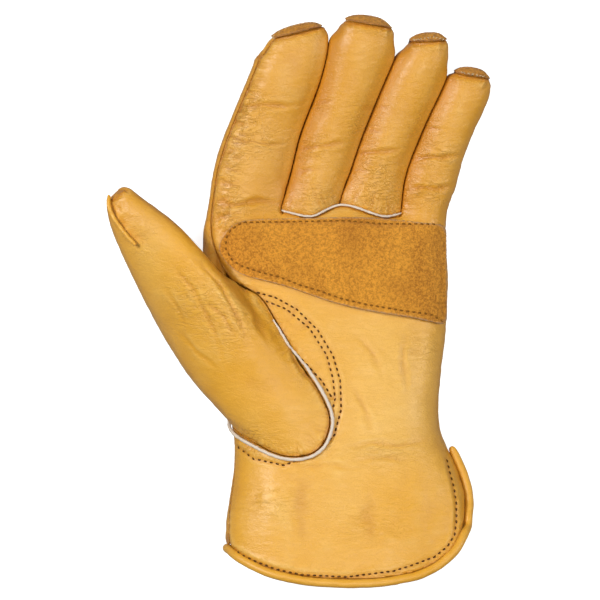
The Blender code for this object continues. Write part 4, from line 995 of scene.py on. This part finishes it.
class GLOVE_OT_edges(bpy.types.Operator):
    """Adds the raw edges along the seams of the thumb and of the middle fingers"""
    bl_idname = "glove.edges"
    bl_label = "Add raw edges"

    def execute(self, context):
        upper = raw_edge("thumb_crease_raw", THUMB_CREASE, 0.65 * MM)
        roughen(upper, EDGE_RELIEF, EDGE_LUMPS, 21)
        finish_piece(upper, bpy.data.materials["cut_edge"], [])
        for name in EDGE_PIECES:
            piece = copy_of(name, name + "_raw")
            halve(piece, 3)
            roughen(piece, EDGE_RELIEF, EDGE_LUMPS, 11)
            finish_piece(piece, bpy.data.materials["cut_edge"], [name])
        return {"FINISHED"}


def mean_near(tree, values, place, reach):
    """Mean of the values of the tree's points within reach of a place."""
    return values[[found[1] for found in tree.find_range(place, reach)]].mean(axis=0)


def draw_to_edge(mesh, wanted):
    """Draws the roll up to the cut edge of the leather that it binds."""
    panels = [bpy.data.objects[name] for name in ("palm_panel_leather", "back_panel_leather")]
    edge = tree_of(np.vstack([positions(panel.data)[weights(panel, "rim") > 0.99] for panel in panels]))
    points = positions(mesh)
    own = tree_of(points)
    shift = np.zeros_like(points)
    for k, place in enumerate(points):
        middle = mean_near(own, points, place, 4.5 * MM)
        nearest, _, away = edge.find(middle)
        if away > wanted:
            shift[k] = (np.array(nearest) - middle) * (1 - wanted / away)
    points = points + np.array([mean_near(own, shift, place, 8 * MM) for place in points])
    points[:, 2] = np.maximum(points[:, 2], 0.2 * MM)
    put_positions(mesh, points)


class GLOVE_OT_binding(bpy.types.Operator):
    """Adds the rolled binding of the cuff"""
    bl_idname = "glove.binding"
    bl_label = "Add binding"

    def execute(self, context):
        piece = copy_of("cuff_binding", "binding_roll")
        draw_to_edge(piece.data, BINDING_REACH)
        halve(piece, 2)
        lumps = roughen(piece, 0.16 * MM, 4.0 * MM, 14)
        # Painted highlight and shade: the roll's raised lumps are painted paler and its hollows deeper.
        put_attribute(piece.data, "fold", lumps * 0.6)
        finish_piece(piece, bpy.data.materials["golden_leather"], ["cuff_binding"])
        return {"FINISHED"}


def one_stitch(settings):
    """One stitch along X: a thread that rises out of the leather and goes back into it."""
    bpy.ops.object.select_all(action="DESELECT")
    bpy.ops.mesh.primitive_uv_sphere_add(segments=8, ring_count=7, radius=1.0, rotation=(0, math.pi / 2, 0))
    piece = bpy.context.object
    bpy.ops.object.mode_set(mode="EDIT")
    bpy.ops.mesh.select_all(action="SELECT")
    bpy.ops.transform.resize(value=(settings.length / 2, settings.thread, settings.thread))
    bpy.ops.object.mode_set(mode="OBJECT")
    bpy.ops.object.transform_apply(location=True, rotation=True, scale=True)
    points = positions(piece.data)
    bow = (points[:, 0] / (settings.length / 2)) ** 2
    points[:, 2] -= bow * settings.thread * 1.3
    faces = [tuple(polygon.vertices) for polygon in piece.data.polygons]
    bpy.data.objects.remove(piece)
    return points, faces


def surface_of(piece):
    """A tree of the piece's faces for dropping places on it."""
    mesh = piece.data
    return BVHTree.FromPolygons([tuple(p) for p in positions(mesh)], [tuple(f.vertices) for f in mesh.polygons])


def sew(name, places, shape, faces, material):
    """One piece of many stitches, each with its place, its direction and the way it faces."""
    points, polygons = [], []
    for at, ahead, facing in places:
        along = (ahead - facing * ahead.dot(facing)).normalized()
        turn = Matrix((along, facing.cross(along), facing)).transposed()
        shift = len(points)
        points += [tuple(at + turn @ Vector(p)) for p in shape]
        polygons += [tuple(k + shift for k in face) for face in faces]
    mesh = bpy.data.meshes.new(name)
    mesh.from_pydata(points, [], polygons)
    mesh.update()
    piece = bpy.data.objects.new(name, mesh)
    bpy.context.scene.collection.objects.link(piece)
    finish_piece(piece, material, [])


def dropped(tree, x, y):
    """Where a place in plan lies on a surface seen from above, and the way the surface faces there."""
    hit, facing, _, _ = tree.ray_cast(Vector((x, y, 1.0)), Vector((0, 0, -1)))
    return hit, facing


class GLOVE_OT_sewing(bpy.types.Operator):
    """Adds the sewn rows and the pale threads at the fingertips"""
    bl_idname = "glove.sewing"
    bl_label = "Add sewing"

    def execute(self, context):
        settings = context.scene.glove_sewing
        shape, faces = one_stitch(settings)
        trees = {"palm_panel": surface_of(bpy.data.objects["palm_panel_leather"]),
                 "palm_patch": surface_of(bpy.data.objects["palm_patch_suede"])}
        for k, (carrier, line) in enumerate(ROWS):
            places = []
            for (x, y), (dx, dy) in zip(*spread_along(in_plan(line), settings.pitch)):
                hit, facing = dropped(trees[carrier], x, y)
                if hit is not None and facing.z > 0.15:
                    places.append((hit + facing * settings.thread * 0.45, Vector((dx, dy, 0)), facing))
            thread = "suede_thread" if carrier == "palm_patch" else "dark_thread"
            sew("row_%d" % (k + 1), places, shape, faces, bpy.data.materials[thread])
        chance = random.Random(12)
        for name, line in TIP_LINES:
            tree, places = surface_of(bpy.data.objects[name + "_suede"]), []
            for (x, y), (dx, dy) in zip(*spread_along(in_plan(line), TIP_PITCH)):
                x, y = x + chance.uniform(-0.4, 0.4) * MM, y + chance.uniform(-0.4, 0.4) * MM
                hit, facing, _, _ = tree.find_nearest(Vector((x, y, TIP_HEIGHT)))
                if hit is not None:
                    slant = Vector((-dy, dx, 0)) + Vector((dx, dy, 0)) * chance.uniform(-0.8, 0.8)
                    places.append((hit + facing * settings.thread * 0.4, slant, facing))
            if places:
                sew(name + "_threads", places, shape * np.array(TIP_THREAD), faces,
                    bpy.data.materials["pale_thread"])
        return {"FINISHED"}


class GLOVE_OT_stage(bpy.types.Operator):
    """Sets the white floor, the soft lights and the camera straight above"""
    bl_idname = "glove.stage"
    bl_label = "Set stage"

    def execute(self, context):
        settings = context.scene.glove_stage
        bpy.ops.object.select_all(action="DESELECT")
        bpy.ops.mesh.primitive_plane_add(size=6.0, location=(0, 0, 0))
        floor = bpy.context.object
        floor.name = "floor"
        made, tree, shader = shader_of("floor_white")
        seen = add(tree, "ShaderNodeLightPath").outputs["Is Camera Ray"]
        tree.links.new(mix(tree, seen, (0.30, 0.30, 0.30, 1.0), settings.floor), shader.inputs["Base Color"])
        tree.links.new(math_node(tree, "MULTIPLY", seen, settings.glow), shader.inputs["Emission Strength"])
        finish_shader(shader, Emission_Color=(1, 1, 1, 1), Roughness=0.9, Specular_IOR_Level=0.0)
        floor.data.materials.append(made)
        world = bpy.data.worlds.new("soft_white")
        context.scene.world = world
        world.use_nodes = True
        tree = world.node_tree
        way = add(tree, "ShaderNodeTexCoord").outputs["Generated"]
        upward = add(tree, "ShaderNodeSeparateXYZ", {0: way}).outputs["Z"]
        sky = mix(tree, ramp(tree, upward, 0.05, 0.95), (0.16, 0.16, 0.16, 1.0), (1.0, 1.0, 1.0, 1.0))
        tree.links.new(sky, tree.nodes["Background"].inputs["Color"])
        tree.nodes["Background"].inputs["Strength"].default_value = settings.sky
        context.scene.view_settings.view_transform = "Standard"
        for name, place, size, power in LIGHTS:
            lamp = bpy.data.lights.new(name, "AREA")
            lamp.shape, lamp.size, lamp.energy = "DISK", size, power
            holder = bpy.data.objects.new(name, lamp)
            holder.location = place
            holder.rotation_euler = Vector(place).to_track_quat("Z", "Y").to_euler()
            context.scene.collection.objects.link(holder)
        camera = bpy.data.cameras.new("camera")
        camera.sensor_width = 36.0
        camera.lens = camera.sensor_width * settings.height / settings.across
        holder = bpy.data.objects.new("camera", camera)
        holder.location = CAMERA_PLACE + (settings.height + MIDDLE_HEIGHT,)
        context.scene.collection.objects.link(holder)
        context.scene.camera = holder
        return {"FINISHED"}


STEPS = ("materials", "leather", "thumb", "suede", "edges", "binding", "sewing", "stage")


class GLOVE_PT_panel(bpy.types.Panel):
    bl_label = "Leather work glove"
    bl_idname = "GLOVE_PT_panel"
    bl_space_type = "VIEW_3D"
    bl_region_type = "UI"
    bl_category = "Glove"

    def draw(self, context):
        for step in STEPS:
            self.layout.operator("glove." + step)
        for name, settings in SETTINGS:
            for key in settings.__annotations__:
                self.layout.prop(getattr(context.scene, name), key)


SETTINGS = (
    ("glove_leather", GloveLeather),
    ("glove_suede", GloveSuede),
    ("glove_sewing", GloveSewing),
    ("glove_stage", GloveStage),
)
CLASSES = tuple(settings for _, settings in SETTINGS) + (
    GLOVE_OT_materials, GLOVE_OT_leather, GLOVE_OT_thumb, GLOVE_OT_suede, GLOVE_OT_edges, GLOVE_OT_binding,
    GLOVE_OT_sewing, GLOVE_OT_stage, GLOVE_PT_panel,
)


def register():
    """Adds the settings, the operators and the panel."""
    for made in CLASSES:
        bpy.utils.register_class(made)
    for name, settings in SETTINGS:
        setattr(bpy.types.Scene, name, bpy.props.PointerProperty(type=settings))


def unregister():
    """Takes them away again."""
    for name, _ in SETTINGS:
        delattr(bpy.types.Scene, name)
    for made in reversed(CLASSES):
        bpy.utils.unregister_class(made)


def main():
    """Builds the glove step by step."""
    register()
    for step in STEPS:
        getattr(bpy.ops.glove, step)()
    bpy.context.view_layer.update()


if __name__ == "__main__":
    main()
